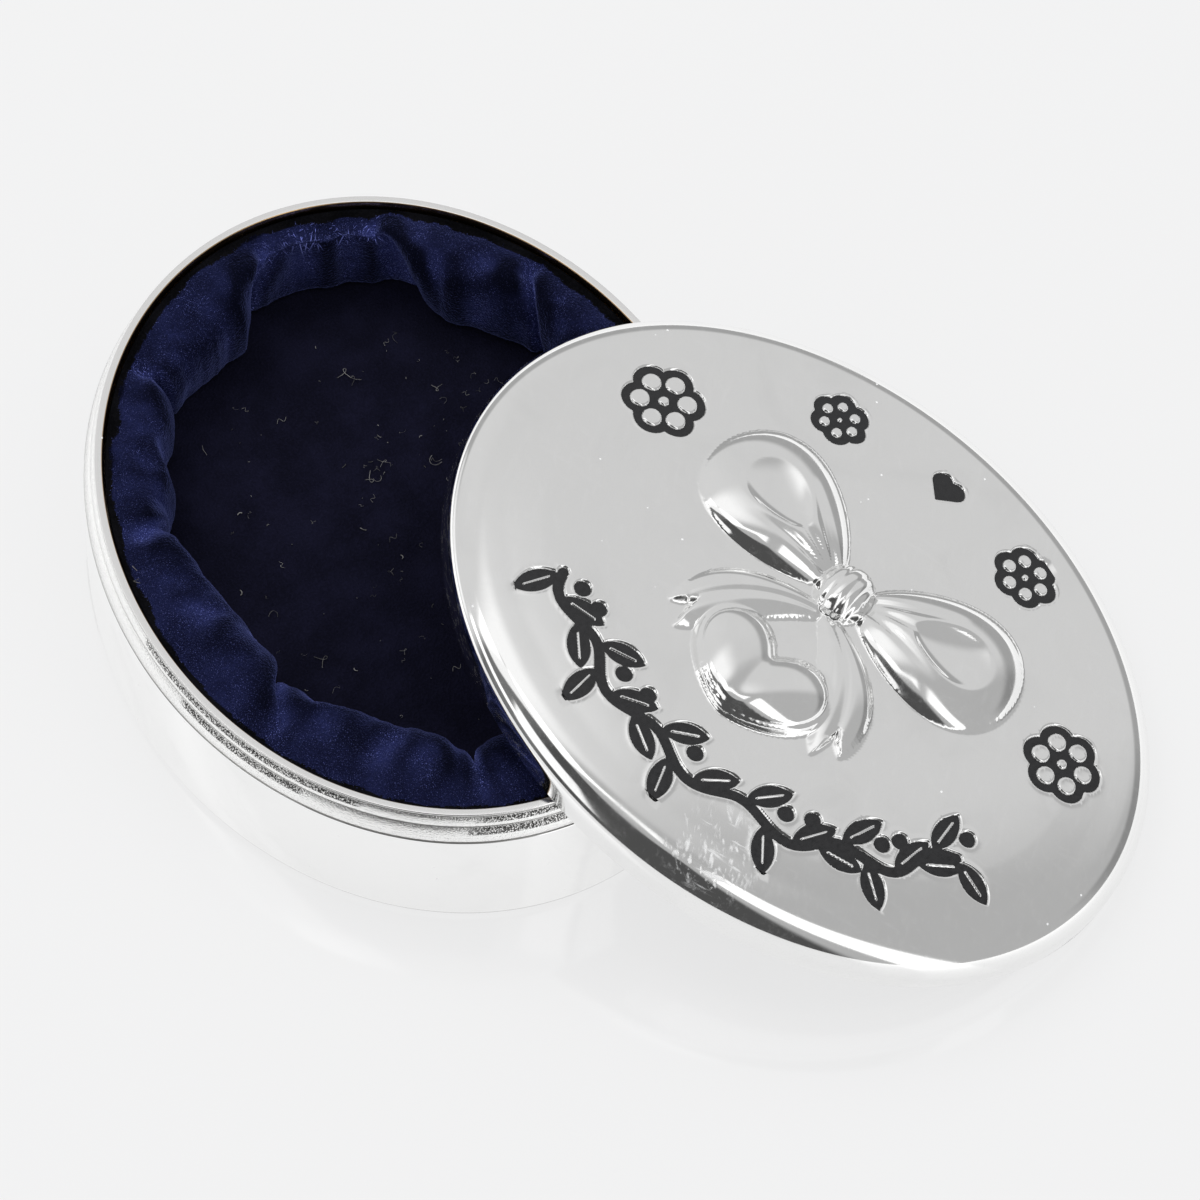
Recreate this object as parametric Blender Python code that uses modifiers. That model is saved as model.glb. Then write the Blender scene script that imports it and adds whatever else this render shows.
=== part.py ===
"""Oval keepsake box in silver plate, open, with its lid leaning on the rim.

Run it with blender --background --python part.py, or from Blender's text editor.
Sizes are in millimetres until they reach a mesh, which is in metres. +Z is up, and the
origin is the middle of the flat base, with X along the long axis of the oval.
"""
import math

import bmesh
import bpy
from mathutils import Matrix, Vector

MM = 0.001
FIT = 0.3                   # clearance between pieces that seat on each other

# The oval that every piece follows
BOX_LENGTH = 60.0           # over the body's top edge, along X
BOX_WIDTH = 48.4            # over the body's top edge, along Y
PARALLEL_BAND = 4.0         # outer band of the oval in which walls keep one thickness
STEPS = 72                  # straight sides round a turned piece that shows
INNER_STEPS = 48            # straight sides round a piece that lies hidden

# Body, a pressed cup
BODY_HEIGHT = 10.15         # base to the edge that the collar's flange sits over
BODY_WALL = 0.7
BASE_THICKNESS = 0.8
BODY_DRAFT = 0.35           # how far the foot stands out past the top edge
FOOT_RADIUS = 0.8
INNER_FILLET = 0.4          # rounding between the base and the wall inside the cup
EASED_EDGE = 0.12           # small rounding on every metal edge

# Collar, a ribbed sleeve pressed into the body
COLLAR_WALL = 0.6
FLANGE_THICKNESS = 0.4
FLANGE_INSET = 0.05         # flange edge inside the body's edge
NECK_HEIGHT = 1.7           # flange to rim
RIB_RADIUS = 0.18
RIB_DROP = 0.45             # rim to the middle of the first rib
RIB_SPACING = 0.65
RIB_COUNT = 2

# Lining of the box
CARD_THICKNESS = 0.4
CARD_DROP = 1.6             # rim to the top of the wall card
FLOOR_CARD_THICKNESS = 0.8
WADDING_THICKNESS = 1.5
FLOOR_CROWN = 0.4           # rise of the padded floor at its middle
VELVET_THICKNESS = 0.6
LINING_DROP = 0.7           # rim to the top of the gathered velvet
LINING_LIP = 0.9            # thickness of the gathered velvet at its top
PUFF_DEPTH = 6.2            # how far the gathered velvet stands in at the floor
PUFF_CURVE = 0.7            # under 1 the puff is fuller than a straight slope
PUFF_TUCK = 0.8             # how far the puff draws back again where it meets the floor
PUFF_ROWS = 6               # rows of points up the puff
GATHERS = 9                 # tucks round the wall
GATHER_PINCH = 0.36         # share of the puff that a tuck takes away
GATHER_SWAY = 0.16          # unevenness of the tucks, as a share of their spacing
LINING_STEPS = 90

# Lid, a pressed dome with a rounded shoulder and a short skirt
LID_WALL = 0.5
LID_TOP_WALL = 0.6
SKIRT_HEIGHT = 1.6
SHOULDER_WIDTH = 3.0
SHOULDER_HEIGHT = 2.4
SHOULDER_END = 84.0         # degrees of the shoulder's arc before the dome takes over
DOME_RISE = 1.1
LID_PAD_MARGIN = 6.0        # skirt to the edge of the lid's lining

# Raised bow and heart on the lid: puffed forms, laid out about the lid's middle with
# the long axis across and the motif's top towards +Y
MOTIF_SHIFT = 3.6           # knot above the lid's middle
KNOT_LENGTH = 4.6
KNOT_WIDTH = 5.4
KNOT_HEIGHT = 1.9
LOOP_LENGTH = 14.0
LOOP_WIDTH = 10.6
LOOP_HEIGHT = 1.5
LOOP_RISE = 14.0            # degrees that a loop lifts towards its far end
LOOP_REACH = 8.2            # knot to the middle of a loop
EYE_LENGTH = 7.6            # the hollow in a loop
EYE_WIDTH = 5.0
EYE_DEPTH = 0.8
EYE_REACH = 9.4             # knot to the middle of a hollow
TAIL_LENGTH = 13.0
TAIL_WIDTH = 4.4
TAIL_HEIGHT = 1.0
TAIL_FALL = 50.0            # degrees that a tail drops
TAIL_REACH = 8.0            # knot to the middle of a tail
TAIL_BEND = 0.04            # sag of a tail per millimetre squared of its run
HEART_LOBE_LENGTH = 9.6
HEART_LOBE_WIDTH = 6.4
HEART_HEIGHT = 1.7
HEART_DROP = 11.0           # knot to the heart's middle
HEART_SPREAD = 2.0          # half the distance between the lobes' middles
HEART_SPLAY = 38.0          # degrees between a lobe and the motif's up direction
RELIEF_SINK = 0.4           # how deep the puffed forms run into the lid's wall
LOOP_FLARE = 0.3            # how much wider a form gets from its middle to its end
TAIL_FLARE = 0.35
LOBE_FLARE = 0.25

# Where the lid lies
LID_OVERLAP = 25.1          # how far lid and box lap over each other in plan
LID_BEARING = 43.6          # degrees from +X to the lid's middle
LID_LEAN_BEARING = 55.8     # degrees from +X to the way the lid slopes down
LID_TURN = 24.8             # degrees that the lid is turned about its own axis

HALF_LENGTH = BOX_LENGTH / 2
FLATTENING = (BOX_LENGTH - BOX_WIDTH) / 2
CORE = HALF_LENGTH - PARALLEL_BAND

BODY_INNER = HALF_LENGTH - BODY_WALL
SLEEVE_OUTER = BODY_INNER - FIT
MOUTH = SLEEVE_OUTER - COLLAR_WALL
LID_INNER = HALF_LENGTH - LID_WALL
NECK = LID_INNER - FIT - RIB_RADIUS
FLANGE_BOTTOM = BODY_HEIGHT + FIT
FLANGE_TOP = FLANGE_BOTTOM + FLANGE_THICKNESS
RIM = FLANGE_TOP + NECK_HEIGHT

CARD_OUTER = MOUTH - FIT
CARD_INNER = CARD_OUTER - CARD_THICKNESS
FLOOR_EDGE = CARD_INNER - FIT
FLOOR_FREE = FLOOR_EDGE - PUFF_DEPTH
FLOOR_CARD_BOTTOM = BASE_THICKNESS + FIT
WADDING_BOTTOM = FLOOR_CARD_BOTTOM + FLOOR_CARD_THICKNESS + FIT
FLOOR_BOTTOM = WADDING_BOTTOM + WADDING_THICKNESS + FIT
FLOOR_TOP = FLOOR_BOTTOM + VELVET_THICKNESS

SHOULDER_TOP = SKIRT_HEIGHT + SHOULDER_HEIGHT * math.sin(math.radians(SHOULDER_END))
DOME_EDGE = HALF_LENGTH - SHOULDER_WIDTH * (1 - math.cos(math.radians(SHOULDER_END)))
LID_PAD_EDGE = HALF_LENGTH - LID_PAD_MARGIN


def squeeze(radius):
    """Width over length of the oval ring that a turned ring of this radius becomes."""
    return 1 - FLATTENING / max(radius, CORE)


def ring_of(x, y):
    """Radius of the turned ring that becomes the oval through a point."""
    radius = math.hypot(x, y)
    for _ in range(20):
        radius = math.hypot(x, y / squeeze(radius))
    return radius


def arc(x, z, width, height, start, end, steps):
    """Points on an elliptic arc about (x, z), from one angle in degrees to another."""
    points = []
    for step in range(steps + 1):
        angle = math.radians(start + (end - start) * step / steps)
        points.append((x + width * math.cos(angle), z + height * math.sin(angle)))
    return points


def finish_material(name, colour, roughness, metallic):
    """A Principled material in the piece's own colour."""
    material = bpy.data.materials.new(name)
    material.use_nodes = True
    shader = material.node_tree.nodes["Principled BSDF"]
    shader.inputs["Base Color"].default_value = (*colour, 1.0)
    shader.inputs["Roughness"].default_value = roughness
    shader.inputs["Metallic"].default_value = metallic
    material.diffuse_color = (*colour, 1.0)
    return material


def add_object(name, mesh, collection, material=None, parent=None):
    """Put a mesh in the scene as a named object."""
    mesh.name = name
    piece = bpy.data.objects.new(name, mesh)
    collection.objects.link(piece)
    piece.parent = parent
    if material:
        mesh.materials.clear()
        mesh.materials.append(material)
    return piece


def turned(name, profile, material, parent=None, ring=False, steps=STEPS, shape=None):
    """A piece turned round Z from its (radius, height) profile, then drawn to the oval.

    The profile starts on the axis, runs outwards and down the outer side and comes back
    to the axis, or is the closed section of a ring. shape moves a point of the round
    form, given as radius, bearing and height, before it is drawn to the oval.
    """
    outline = bmesh.new()
    points = [outline.verts.new((x * MM, 0, z * MM)) for x, z in profile]
    for first, second in zip(points, points[1:]):
        outline.edges.new((first, second))
    if ring:
        outline.edges.new((points[-1], points[0]))
    mesh = bpy.data.meshes.new(name)
    outline.to_mesh(mesh)
    outline.free()
    lathe = bpy.data.objects.new(name, mesh)
    bpy.context.scene.collection.objects.link(lathe)
    screw = lathe.modifiers.new("turn", "SCREW")
    screw.steps = steps
    screw.render_steps = steps
    screw.use_merge_vertices = True
    screw.merge_threshold = 0.00001
    solid = bpy.data.meshes.new_from_object(lathe.evaluated_get(bpy.context.evaluated_depsgraph_get()))
    bpy.data.objects.remove(lathe)
    for vertex in solid.vertices:
        x, y, z = (value / MM for value in vertex.co)
        radius = math.hypot(x, y)
        bearing = math.atan2(y, x)
        if shape:
            radius, z = shape(radius, bearing, z)
        x = radius * math.cos(bearing)
        y = radius * math.sin(bearing) * squeeze(radius)
        vertex.co = (x * MM, y * MM, z * MM)
    solid.shade_smooth()
    solid.set_sharp_from_angle(angle=math.radians(35))
    return add_object(name, solid, parts, material, parent)


def box_body():
    """Pressed cup with a flat base, a rounded foot and a slight draft."""
    foot = HALF_LENGTH + BODY_DRAFT
    profile = [(0, BASE_THICKNESS), (CORE, BASE_THICKNESS)]
    profile += arc(BODY_INNER - INNER_FILLET, BASE_THICKNESS + INNER_FILLET,
                   INNER_FILLET, INNER_FILLET, -90, 0, 2)
    profile += [(BODY_INNER, BODY_HEIGHT), (HALF_LENGTH - EASED_EDGE, BODY_HEIGHT),
                (HALF_LENGTH, BODY_HEIGHT - EASED_EDGE)]
    profile += arc(foot - FOOT_RADIUS, FOOT_RADIUS, FOOT_RADIUS, FOOT_RADIUS, 0, -90, 4)
    profile += [(CORE, 0), (0, 0)]
    return turned("box_body", profile, silver)


def neck_collar():
    """Sleeve with a flange on the body's edge and a ribbed neck for the lid."""
    profile = [(MOUTH, RIM - EASED_EDGE), (MOUTH + EASED_EDGE, RIM),
               (NECK - EASED_EDGE, RIM), (NECK, RIM - EASED_EDGE)]
    for rib in range(RIB_COUNT):
        middle = RIM - RIB_DROP - rib * RIB_SPACING
        profile += arc(NECK, middle, RIB_RADIUS, RIB_RADIUS, 90, -90, 3)
    flange = HALF_LENGTH - FLANGE_INSET
    sleeve_foot = BASE_THICKNESS + INNER_FILLET + FIT
    profile += [(NECK, FLANGE_TOP), (flange - EASED_EDGE, FLANGE_TOP),
                (flange, FLANGE_TOP - EASED_EDGE), (flange, FLANGE_BOTTOM),
                (SLEEVE_OUTER, FLANGE_BOTTOM), (SLEEVE_OUTER, sleeve_foot),
                (MOUTH, sleeve_foot)]
    return turned("neck_collar", profile, bright_rim, ring=True)


def wall_card():
    """Thin card band that the gathered velvet is glued to."""
    bottom = FLOOR_CARD_BOTTOM
    top = RIM - CARD_DROP
    profile = [(CARD_INNER, bottom), (CARD_INNER, top), (CARD_OUTER, top), (CARD_OUTER, bottom)]
    return turned("wall_card", profile, card, ring=True, steps=INNER_STEPS)


def floor_crown(radius):
    """Rise of the padded floor, which is level where the gathered wall stands on it."""
    share = min(radius / FLOOR_FREE, 1.0)
    return FLOOR_CROWN * (1 - share ** 2) ** 2


def floor_layer(name, bottom, top, crowned_below, crowned_above, material, steps):
    """One oval layer of the floor, with its edge drawn in."""
    round_off = (top - bottom) / 2
    rings = [FLOOR_FREE * share for share in (0.0, 0.4, 0.75, 1.0)]
    over = [(radius, top + floor_crown(radius)) for radius in rings]
    under = [(radius, bottom + floor_crown(radius)) for radius in reversed(rings)]
    profile = over if crowned_above else [(0, top)]
    profile += arc(FLOOR_EDGE - round_off, bottom + round_off, round_off, round_off, 90, -90, 3)
    profile += under if crowned_below else [(0, bottom)]
    return turned(name, profile, material, steps=steps)


def gather(bearing):
    """Share of the full puff at a bearing: 1 on a puff, less in the tuck between two."""
    turn = bearing / (2 * math.pi) * GATHERS + GATHER_SWAY * math.sin(2 * bearing + 0.7)
    from_middle = abs((turn % 1.0) - 0.5) * 2
    return 1 - GATHER_PINCH * from_middle ** 5


def wall_velvet():
    """Velvet band gathered round the wall: full puffs at the floor with tucks between."""
    bottom = FLOOR_TOP + FIT
    top = RIM - LINING_DROP
    profile = [(FLOOR_EDGE - PUFF_DEPTH + PUFF_TUCK, bottom)]
    for row in range(1, PUFF_ROWS):
        height = row / PUFF_ROWS
        stand = LINING_LIP + (PUFF_DEPTH - LINING_LIP) * (1 - height) ** PUFF_CURVE
        profile.append((FLOOR_EDGE - stand, bottom + (top - bottom) * height))
    profile += arc(FLOOR_EDGE - LINING_LIP / 2, top - LINING_LIP / 2,
                   LINING_LIP / 2, LINING_LIP / 2, 180, 0, 3)
    profile += [(FLOOR_EDGE, bottom)]

    def pinch(radius, bearing, height):
        depth = FLOOR_EDGE - radius
        spare = max(depth - LINING_LIP, 0)
        return FLOOR_EDGE - depth + spare * (1 - gather(bearing)), height

    return turned("wall_velvet", profile, velvet, ring=True, steps=LINING_STEPS, shape=pinch)


def dome_drop(radius):
    """How far the dome has fallen from its middle at a ring."""
    return DOME_RISE * (radius / DOME_EDGE) ** 2


def lid_height(radius):
    """Height of the lid's outer face over the foot of its skirt, inside the shoulder."""
    return SHOULDER_TOP + DOME_RISE - dome_drop(radius)


def dome_rings(edge):
    """Radii at which the dome and the lid's lining get a ring of points."""
    return [edge * share for share in (0.0, 0.4, 0.72, 1.0)]


def lid_pad_bottom():
    """Height of the lining's underside over the foot of the skirt, at the lid's middle."""
    lining = FIT + CARD_THICKNESS + FIT + VELVET_THICKNESS
    return lid_height(0) - LID_TOP_WALL - lining


def lid_shell(parent):
    """Domed lid with a rounded shoulder and a short skirt, its raised motif fused on."""
    shoulder = HALF_LENGTH - SHOULDER_WIDTH
    profile = [(radius, lid_height(radius)) for radius in dome_rings(DOME_EDGE)[:-1]]
    profile += arc(shoulder, SKIRT_HEIGHT, SHOULDER_WIDTH, SHOULDER_HEIGHT, SHOULDER_END, 0, 7)
    profile += [(HALF_LENGTH, EASED_EDGE), (HALF_LENGTH - EASED_EDGE, 0),
                (LID_INNER, 0), (LID_INNER, SKIRT_HEIGHT)]
    profile += arc(shoulder, SKIRT_HEIGHT, SHOULDER_WIDTH - LID_WALL,
                   SHOULDER_HEIGHT - LID_TOP_WALL, 0, SHOULDER_END, 4)[1:]
    profile += [(radius, lid_height(radius) - LID_TOP_WALL)
                for radius in reversed(dome_rings(DOME_EDGE)[:-1])]
    shell = turned("lid_shell", profile, silver, parent)
    for index, (operation, form) in enumerate(raised_motif(parent)):
        cut = shell.modifiers.new(f"motif_{index}", "BOOLEAN")
        cut.operation = operation
        cut.object = form
        cut.solver = "EXACT"
    return shell


def puff(name, parent, length, width, height, at, turn, flare=0.0, bend=0.0, lift=0.0):
    """Pressed form on the dome, wider towards +X by flare and bent sideways by bend.

    at is its middle in the lid's plane, turn its angle in degrees, and lift the height
    of its middle over the dome. What reaches deeper than the relief is cut off flat.
    """
    form = bmesh.new()
    bmesh.ops.create_uvsphere(form, u_segments=16, v_segments=8, radius=1.0)
    for vertex in form.verts:
        x, y, z = vertex.co
        run = x * length / 2
        vertex.co = (run, y * width / 2 * (1 + flare * x) - bend * run ** 2, z * height + lift)
    cut = bmesh.ops.bisect_plane(form, geom=form.verts[:] + form.edges[:] + form.faces[:],
                                 plane_co=(0, 0, -RELIEF_SINK), plane_no=(0, 0, -1), clear_outer=True)
    rim = [edge for edge in cut["geom_cut"] if isinstance(edge, bmesh.types.BMEdge)]
    if rim:
        bmesh.ops.contextual_create(form, geom=rim)
    bmesh.ops.recalc_face_normals(form, faces=form.faces[:])
    place = Matrix.Translation((at[0], at[1], lid_height(ring_of(*at))))
    form.transform(Matrix.Scale(MM, 4) @ place @ Matrix.Rotation(math.radians(turn), 4, "Z"))
    mesh = bpy.data.meshes.new(name)
    form.to_mesh(mesh)
    form.free()
    mesh.shade_smooth()
    cutter = add_object(name, mesh, cutters, silver, parent)
    cutter.hide_render = True
    cutter.display_type = "WIRE"
    return cutter


def raised_motif(parent):
    """The puffed forms of the bow and heart, in the order in which they are fused."""
    steps = []
    for side, hand in (("left", -1), ("right", 1)):
        def out(reach, rise):
            angle = math.radians(rise)
            return hand * reach * math.cos(angle), MOTIF_SHIFT + reach * math.sin(angle)

        loop_turn = 90 - hand * (90 - LOOP_RISE)
        tail_turn = 90 - hand * (90 + TAIL_FALL)
        tail = puff(f"tail_{side}", parent, TAIL_LENGTH, TAIL_WIDTH, TAIL_HEIGHT,
                    out(TAIL_REACH, -TAIL_FALL), tail_turn, TAIL_FLARE, hand * TAIL_BEND)
        loop = puff(f"loop_{side}", parent, LOOP_LENGTH, LOOP_WIDTH, LOOP_HEIGHT,
                    out(LOOP_REACH, LOOP_RISE), loop_turn, LOOP_FLARE)
        eye = puff(f"eye_{side}", parent, EYE_LENGTH, EYE_WIDTH, EYE_DEPTH,
                   out(EYE_REACH, LOOP_RISE), loop_turn, LOOP_FLARE, lift=LOOP_HEIGHT)
        lobe = puff(f"lobe_{side}", parent, HEART_LOBE_LENGTH, HEART_LOBE_WIDTH, HEART_HEIGHT,
                    (hand * HEART_SPREAD, MOTIF_SHIFT - HEART_DROP), 90 - hand * HEART_SPLAY,
                    LOBE_FLARE)
        steps += [("UNION", tail), ("UNION", loop), ("DIFFERENCE", eye), ("UNION", lobe)]
    knot = puff("knot", parent, KNOT_LENGTH, KNOT_WIDTH, KNOT_HEIGHT, (0, MOTIF_SHIFT), 0)
    return steps + [("UNION", knot)]


def lid_layer(name, gap_above, thickness, material, parent):
    """One layer of the lid's lining, bent to the dome; gap_above is its depth under it."""
    top = lid_height(0) - LID_TOP_WALL - gap_above
    upper = [(radius, top - dome_drop(radius)) for radius in dome_rings(LID_PAD_EDGE)]
    lower = [(radius, z - thickness) for radius, z in reversed(upper)]
    return turned(name, upper + lower, material, parent, steps=INNER_STEPS)


def oval_reach(bearing):
    """Distance from the middle of the box's or lid's outer oval to its edge."""
    half_width = HALF_LENGTH - FLATTENING
    return 1 / math.hypot(math.cos(bearing) / HALF_LENGTH, math.sin(bearing) / half_width)


def lid_place(lean):
    """Matrix, in millimetres, of a lid that slopes down by lean and touches the table."""
    bearing = math.radians(LID_BEARING)
    slope = math.radians(LID_LEAN_BEARING)
    turn = math.radians(LID_TURN)
    apart = oval_reach(bearing) + oval_reach(bearing - turn) - LID_OVERLAP
    half_width = HALF_LENGTH - FLATTENING
    low_reach = math.hypot(HALF_LENGTH * math.cos(slope - turn), half_width * math.sin(slope - turn))
    middle = (apart * math.cos(bearing), apart * math.sin(bearing), low_reach * math.sin(lean))
    axis = Vector((-math.sin(slope), math.cos(slope), 0))
    return Matrix.Translation(middle) @ Matrix.Rotation(lean, 4, axis) @ Matrix.Rotation(turn, 4, "Z")


def rim_clearance(lean):
    """Least height from the collar's rim up to the lid above it, for a lean in radians."""
    to_lid = lid_place(lean).inverted()
    least = math.inf
    for step in range(360):
        bearing = math.radians(step)
        for reach in (MOUTH, NECK):
            point = Vector((reach * math.cos(bearing), (reach - FLATTENING) * math.sin(bearing), RIM))
            x, y, z = to_lid @ point
            radius = ring_of(x, y)
            if LID_INNER < radius < HALF_LENGTH:
                least = min(least, -z)
            if radius < LID_PAD_EDGE:
                least = min(least, lid_pad_bottom() - dome_drop(radius) - z)
    return least


def find_lean():
    """The least lean at which the lid clears the rim that it rests on."""
    low, high = 0.0, math.radians(60)
    for _ in range(30):
        middle = (low + high) / 2
        if rim_clearance(middle) < FIT:
            low = middle
        else:
            high = middle
    return high


for old in list(bpy.data.objects):
    bpy.data.objects.remove(old)
parts = bpy.data.collections.new("keepsake_box")
cutters = bpy.data.collections.new("cutters")
bpy.context.scene.collection.children.link(parts)
bpy.context.scene.collection.children.link(cutters)

silver = finish_material("silver_plate", (0.86, 0.86, 0.87), 0.12, 1.0)
bright_rim = finish_material("bright_rim", (0.84, 0.82, 0.78), 0.18, 1.0)
velvet = finish_material("navy_velvet", (0.012, 0.014, 0.09), 0.95, 0.0)
card = finish_material("grey_card", (0.45, 0.43, 0.4), 0.9, 0.0)
wadding = finish_material("white_wadding", (0.85, 0.85, 0.83), 0.95, 0.0)

box_body()
neck_collar()
wall_card()
floor_layer("floor_card", FLOOR_CARD_BOTTOM, FLOOR_CARD_BOTTOM + FLOOR_CARD_THICKNESS,
            False, False, card, INNER_STEPS)
floor_layer("floor_wadding", WADDING_BOTTOM, WADDING_BOTTOM + WADDING_THICKNESS,
            False, True, wadding, INNER_STEPS)
floor_layer("floor_velvet", FLOOR_BOTTOM, FLOOR_TOP, True, True, velvet, STEPS)
wall_velvet()

lean_angle = find_lean()
lid_mount = bpy.data.objects.new("lid_lift_axis", None)
parts.objects.link(lid_mount)
place = lid_place(lean_angle)
lid_mount.matrix_world = Matrix.Translation(place.translation * MM) @ place.to_3x3().to_4x4()
lid_shell(lid_mount)
lid_layer("lid_card", FIT, CARD_THICKNESS, card, lid_mount)
lid_layer("lid_velvet", FIT + CARD_THICKNESS + FIT, VELVET_THICKNESS, velvet, lid_mount)
bpy.context.view_layer.update()
print(f"lid leans {math.degrees(lean_angle):.2f} degrees, rim at {RIM:.2f} mm")
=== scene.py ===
import math

import bmesh
import bpy
import numpy as np
from mathutils import Matrix, Vector, noise


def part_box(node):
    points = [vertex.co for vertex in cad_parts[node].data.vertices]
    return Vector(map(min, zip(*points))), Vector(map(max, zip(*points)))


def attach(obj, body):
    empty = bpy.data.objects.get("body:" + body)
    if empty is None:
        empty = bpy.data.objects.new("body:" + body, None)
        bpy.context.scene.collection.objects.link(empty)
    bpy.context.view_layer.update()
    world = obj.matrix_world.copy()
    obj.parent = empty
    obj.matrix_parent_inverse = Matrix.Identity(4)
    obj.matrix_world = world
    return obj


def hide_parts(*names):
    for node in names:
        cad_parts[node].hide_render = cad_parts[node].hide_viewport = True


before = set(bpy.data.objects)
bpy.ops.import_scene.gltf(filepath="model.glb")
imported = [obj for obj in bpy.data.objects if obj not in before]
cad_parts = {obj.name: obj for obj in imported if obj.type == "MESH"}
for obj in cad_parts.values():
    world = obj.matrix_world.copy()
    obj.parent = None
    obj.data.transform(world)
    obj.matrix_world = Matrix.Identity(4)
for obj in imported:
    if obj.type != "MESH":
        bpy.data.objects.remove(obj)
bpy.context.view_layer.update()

# Studio for bright silver: a pale glossy table inside a cloth light tent. Only gloss sees the
# tent: grey cloth with a bright panel overhead, a dark side where the room shows, a shade low
# behind the box, and a few lit strips. Lamps and the world light what is not a mirror.
MM = 0.001
CAMERA_PLACE = (272.0, -108.5, 453.9)
CAMERA_TILT = 32.69
CAMERA_HEADING = 65.49
LENS = 210.0
WORLD_COLOUR = (0.97, 0.98, 1.0, 1.0)
WORLD_LIGHT = 0.72
WORLD_SEEN = 0.9
TABLE_SPAN = 1200.0
TABLE_DROP = 0.02
TABLE_COLOURS = ((0.125, 0.125, 0.127), (0.135, 0.135, 0.137))
TABLE_GLOW = 0.738
TENT_RADIUS = 1500.0
CLOTH_SIDES = (-0.10, 0.10, 0.645, 0.455)
OVERHEAD_LIGHT = 0.36
OVERHEAD_FADES = ((0.55, 0.0), (-0.42, -0.24), (0.0, 0.12))
PANEL_LIGHT = 0.8
PANEL_BENDS = ((-0.25, 0.12, -0.58, -0.26), (0.12, 0.22, 0.0, 0.38))
PANEL = (0.0, 0.12, 0.04)
PANEL_ENDS = ((-0.40, -0.30), (-2.0, 2.0))
PANEL_GAP = (0.288, 0.045, 0.012)
PANEL_GAP_WAY = (0.817, 0.576)
ROOM = ((-64.0, 46.0, 8.0), (32.0, 33.0, 3.0))
ROOM_SHADE = 0.83
BEHIND_SHADE = 0.42
BEHIND_FADES = ((0.1, 0.5), (21.0, 13.0))
STRIP = ((-106.0, 12.0, 3.0), (22.0, 4.0, 2.0))
CARD = ((-83.0, 11.0, 3.0), (28.0, 12.0, 4.0))
EDGE = ((-142.0, 18.0, 6.0), (8.0, 3.0, 2.0))
EDGE_LIGHT = 0.35
KEY_LAMP = (200.0, 55.0, 2.2)
FILL_LAMP = (60.0, 60.0, 1.0)
LAMP_AWAY = 900.0
LAMP_SIZE = 500.0


def mesh_object(name, points, faces, smooth=True):
    """A mesh object at the origin from points in millimetres and lists of corners."""
    mesh = bpy.data.meshes.new(name)
    mesh.from_pydata([tuple(point) for point in np.asarray(points, float) * MM], [], faces)
    mesh.update()
    if smooth:
        mesh.shade_smooth()
    piece = bpy.data.objects.new(name, mesh)
    bpy.context.scene.collection.objects.link(piece)
    return piece


def add_node(tree, kind, inputs=None, **settings):
    """A node with its settings; each input is given a plain value or another node's socket."""
    made = tree.nodes.new(kind)
    for name, value in settings.items():
        setattr(made, name, value)
    for key, value in (inputs or {}).items():
        if isinstance(value, bpy.types.NodeSocket):
            tree.links.new(value, made.inputs[key])
        else:
            made.inputs[key].default_value = value
    return made


def maths(tree, operation, *values):
    """The result of a Math node on values or sockets."""
    return add_node(tree, "ShaderNodeMath", dict(enumerate(values)), operation=operation).outputs[0]


def times(tree, *values):
    """Values or sockets multiplied together."""
    result = values[0]
    for value in values[1:]:
        result = maths(tree, "MULTIPLY", result, value)
    return result


def less(tree, value, share):
    """A value with a share of it taken away."""
    return maths(tree, "MULTIPLY", value, maths(tree, "SUBTRACT", 1.0, share))


def ramp(tree, value, start, end, low=0.0, high=1.0):
    """A smooth step from low to high as a socket's value goes from start to end."""
    inputs = {"Value": value, "From Min": start, "From Max": end, "To Min": low, "To Max": high}
    return add_node(tree, "ShaderNodeMapRange", inputs, interpolation_type="SMOOTHSTEP").outputs["Result"]


def cloud(tree, place, scale, detail, **more):
    """The value of a noise texture at a place."""
    inputs = {"Vector": place, "Scale": scale, "Detail": detail, **more}
    return add_node(tree, "ShaderNodeTexNoise", inputs).outputs["Fac"]


def mix(tree, share, first, second):
    """A colour between two, which are plain colours or sockets."""
    first, second = ((*colour, 1) if isinstance(colour, tuple) else colour for colour in (first, second))
    return add_node(tree, "ShaderNodeMix", {"Factor": share, "A": first, "B": second},
                    data_type="RGBA").outputs["Result"]


def bumped(tree, shader, height, distance, strength=1.0):
    """Give a shader the bumps of a height."""
    bump = add_node(tree, "ShaderNodeBump", {"Height": height, "Distance": distance, "Strength": strength})
    tree.links.new(bump.outputs[0], shader.inputs["Normal"])


def new_finish(name):
    """A new material, its tree, its shader, and the place that its patterns read."""
    made = bpy.data.materials.new(name)
    made.use_nodes = True
    tree = made.node_tree
    place = add_node(tree, "ShaderNodeTexCoord").outputs["Object"]
    return made, tree, tree.nodes["Principled BSDF"], place


scene = bpy.context.scene
scene.view_settings.view_transform = "Standard"

camera = bpy.data.objects.new("camera", bpy.data.cameras.new("camera"))
scene.collection.objects.link(camera)
camera.location = Vector(CAMERA_PLACE) * MM
camera.rotation_euler = (math.radians(CAMERA_TILT), 0, math.radians(CAMERA_HEADING))
camera.data.lens = LENS
scene.camera = camera

world = bpy.data.worlds.new("studio")
world.use_nodes = True
scene.world = world
sky = world.node_tree
light_path = add_node(sky, "ShaderNodeLightPath")
seen = maths(sky, "MAXIMUM", light_path.outputs["Is Camera Ray"], light_path.outputs["Is Glossy Ray"])
seen = maths(sky, "MAXIMUM", seen, light_path.outputs["Is Transmission Ray"])
strength = ramp(sky, seen, 0, 1, WORLD_LIGHT, WORLD_SEEN)
sky.nodes["Background"].inputs["Color"].default_value = WORLD_COLOUR
sky.links.new(strength, sky.nodes["Background"].inputs["Strength"])

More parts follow.
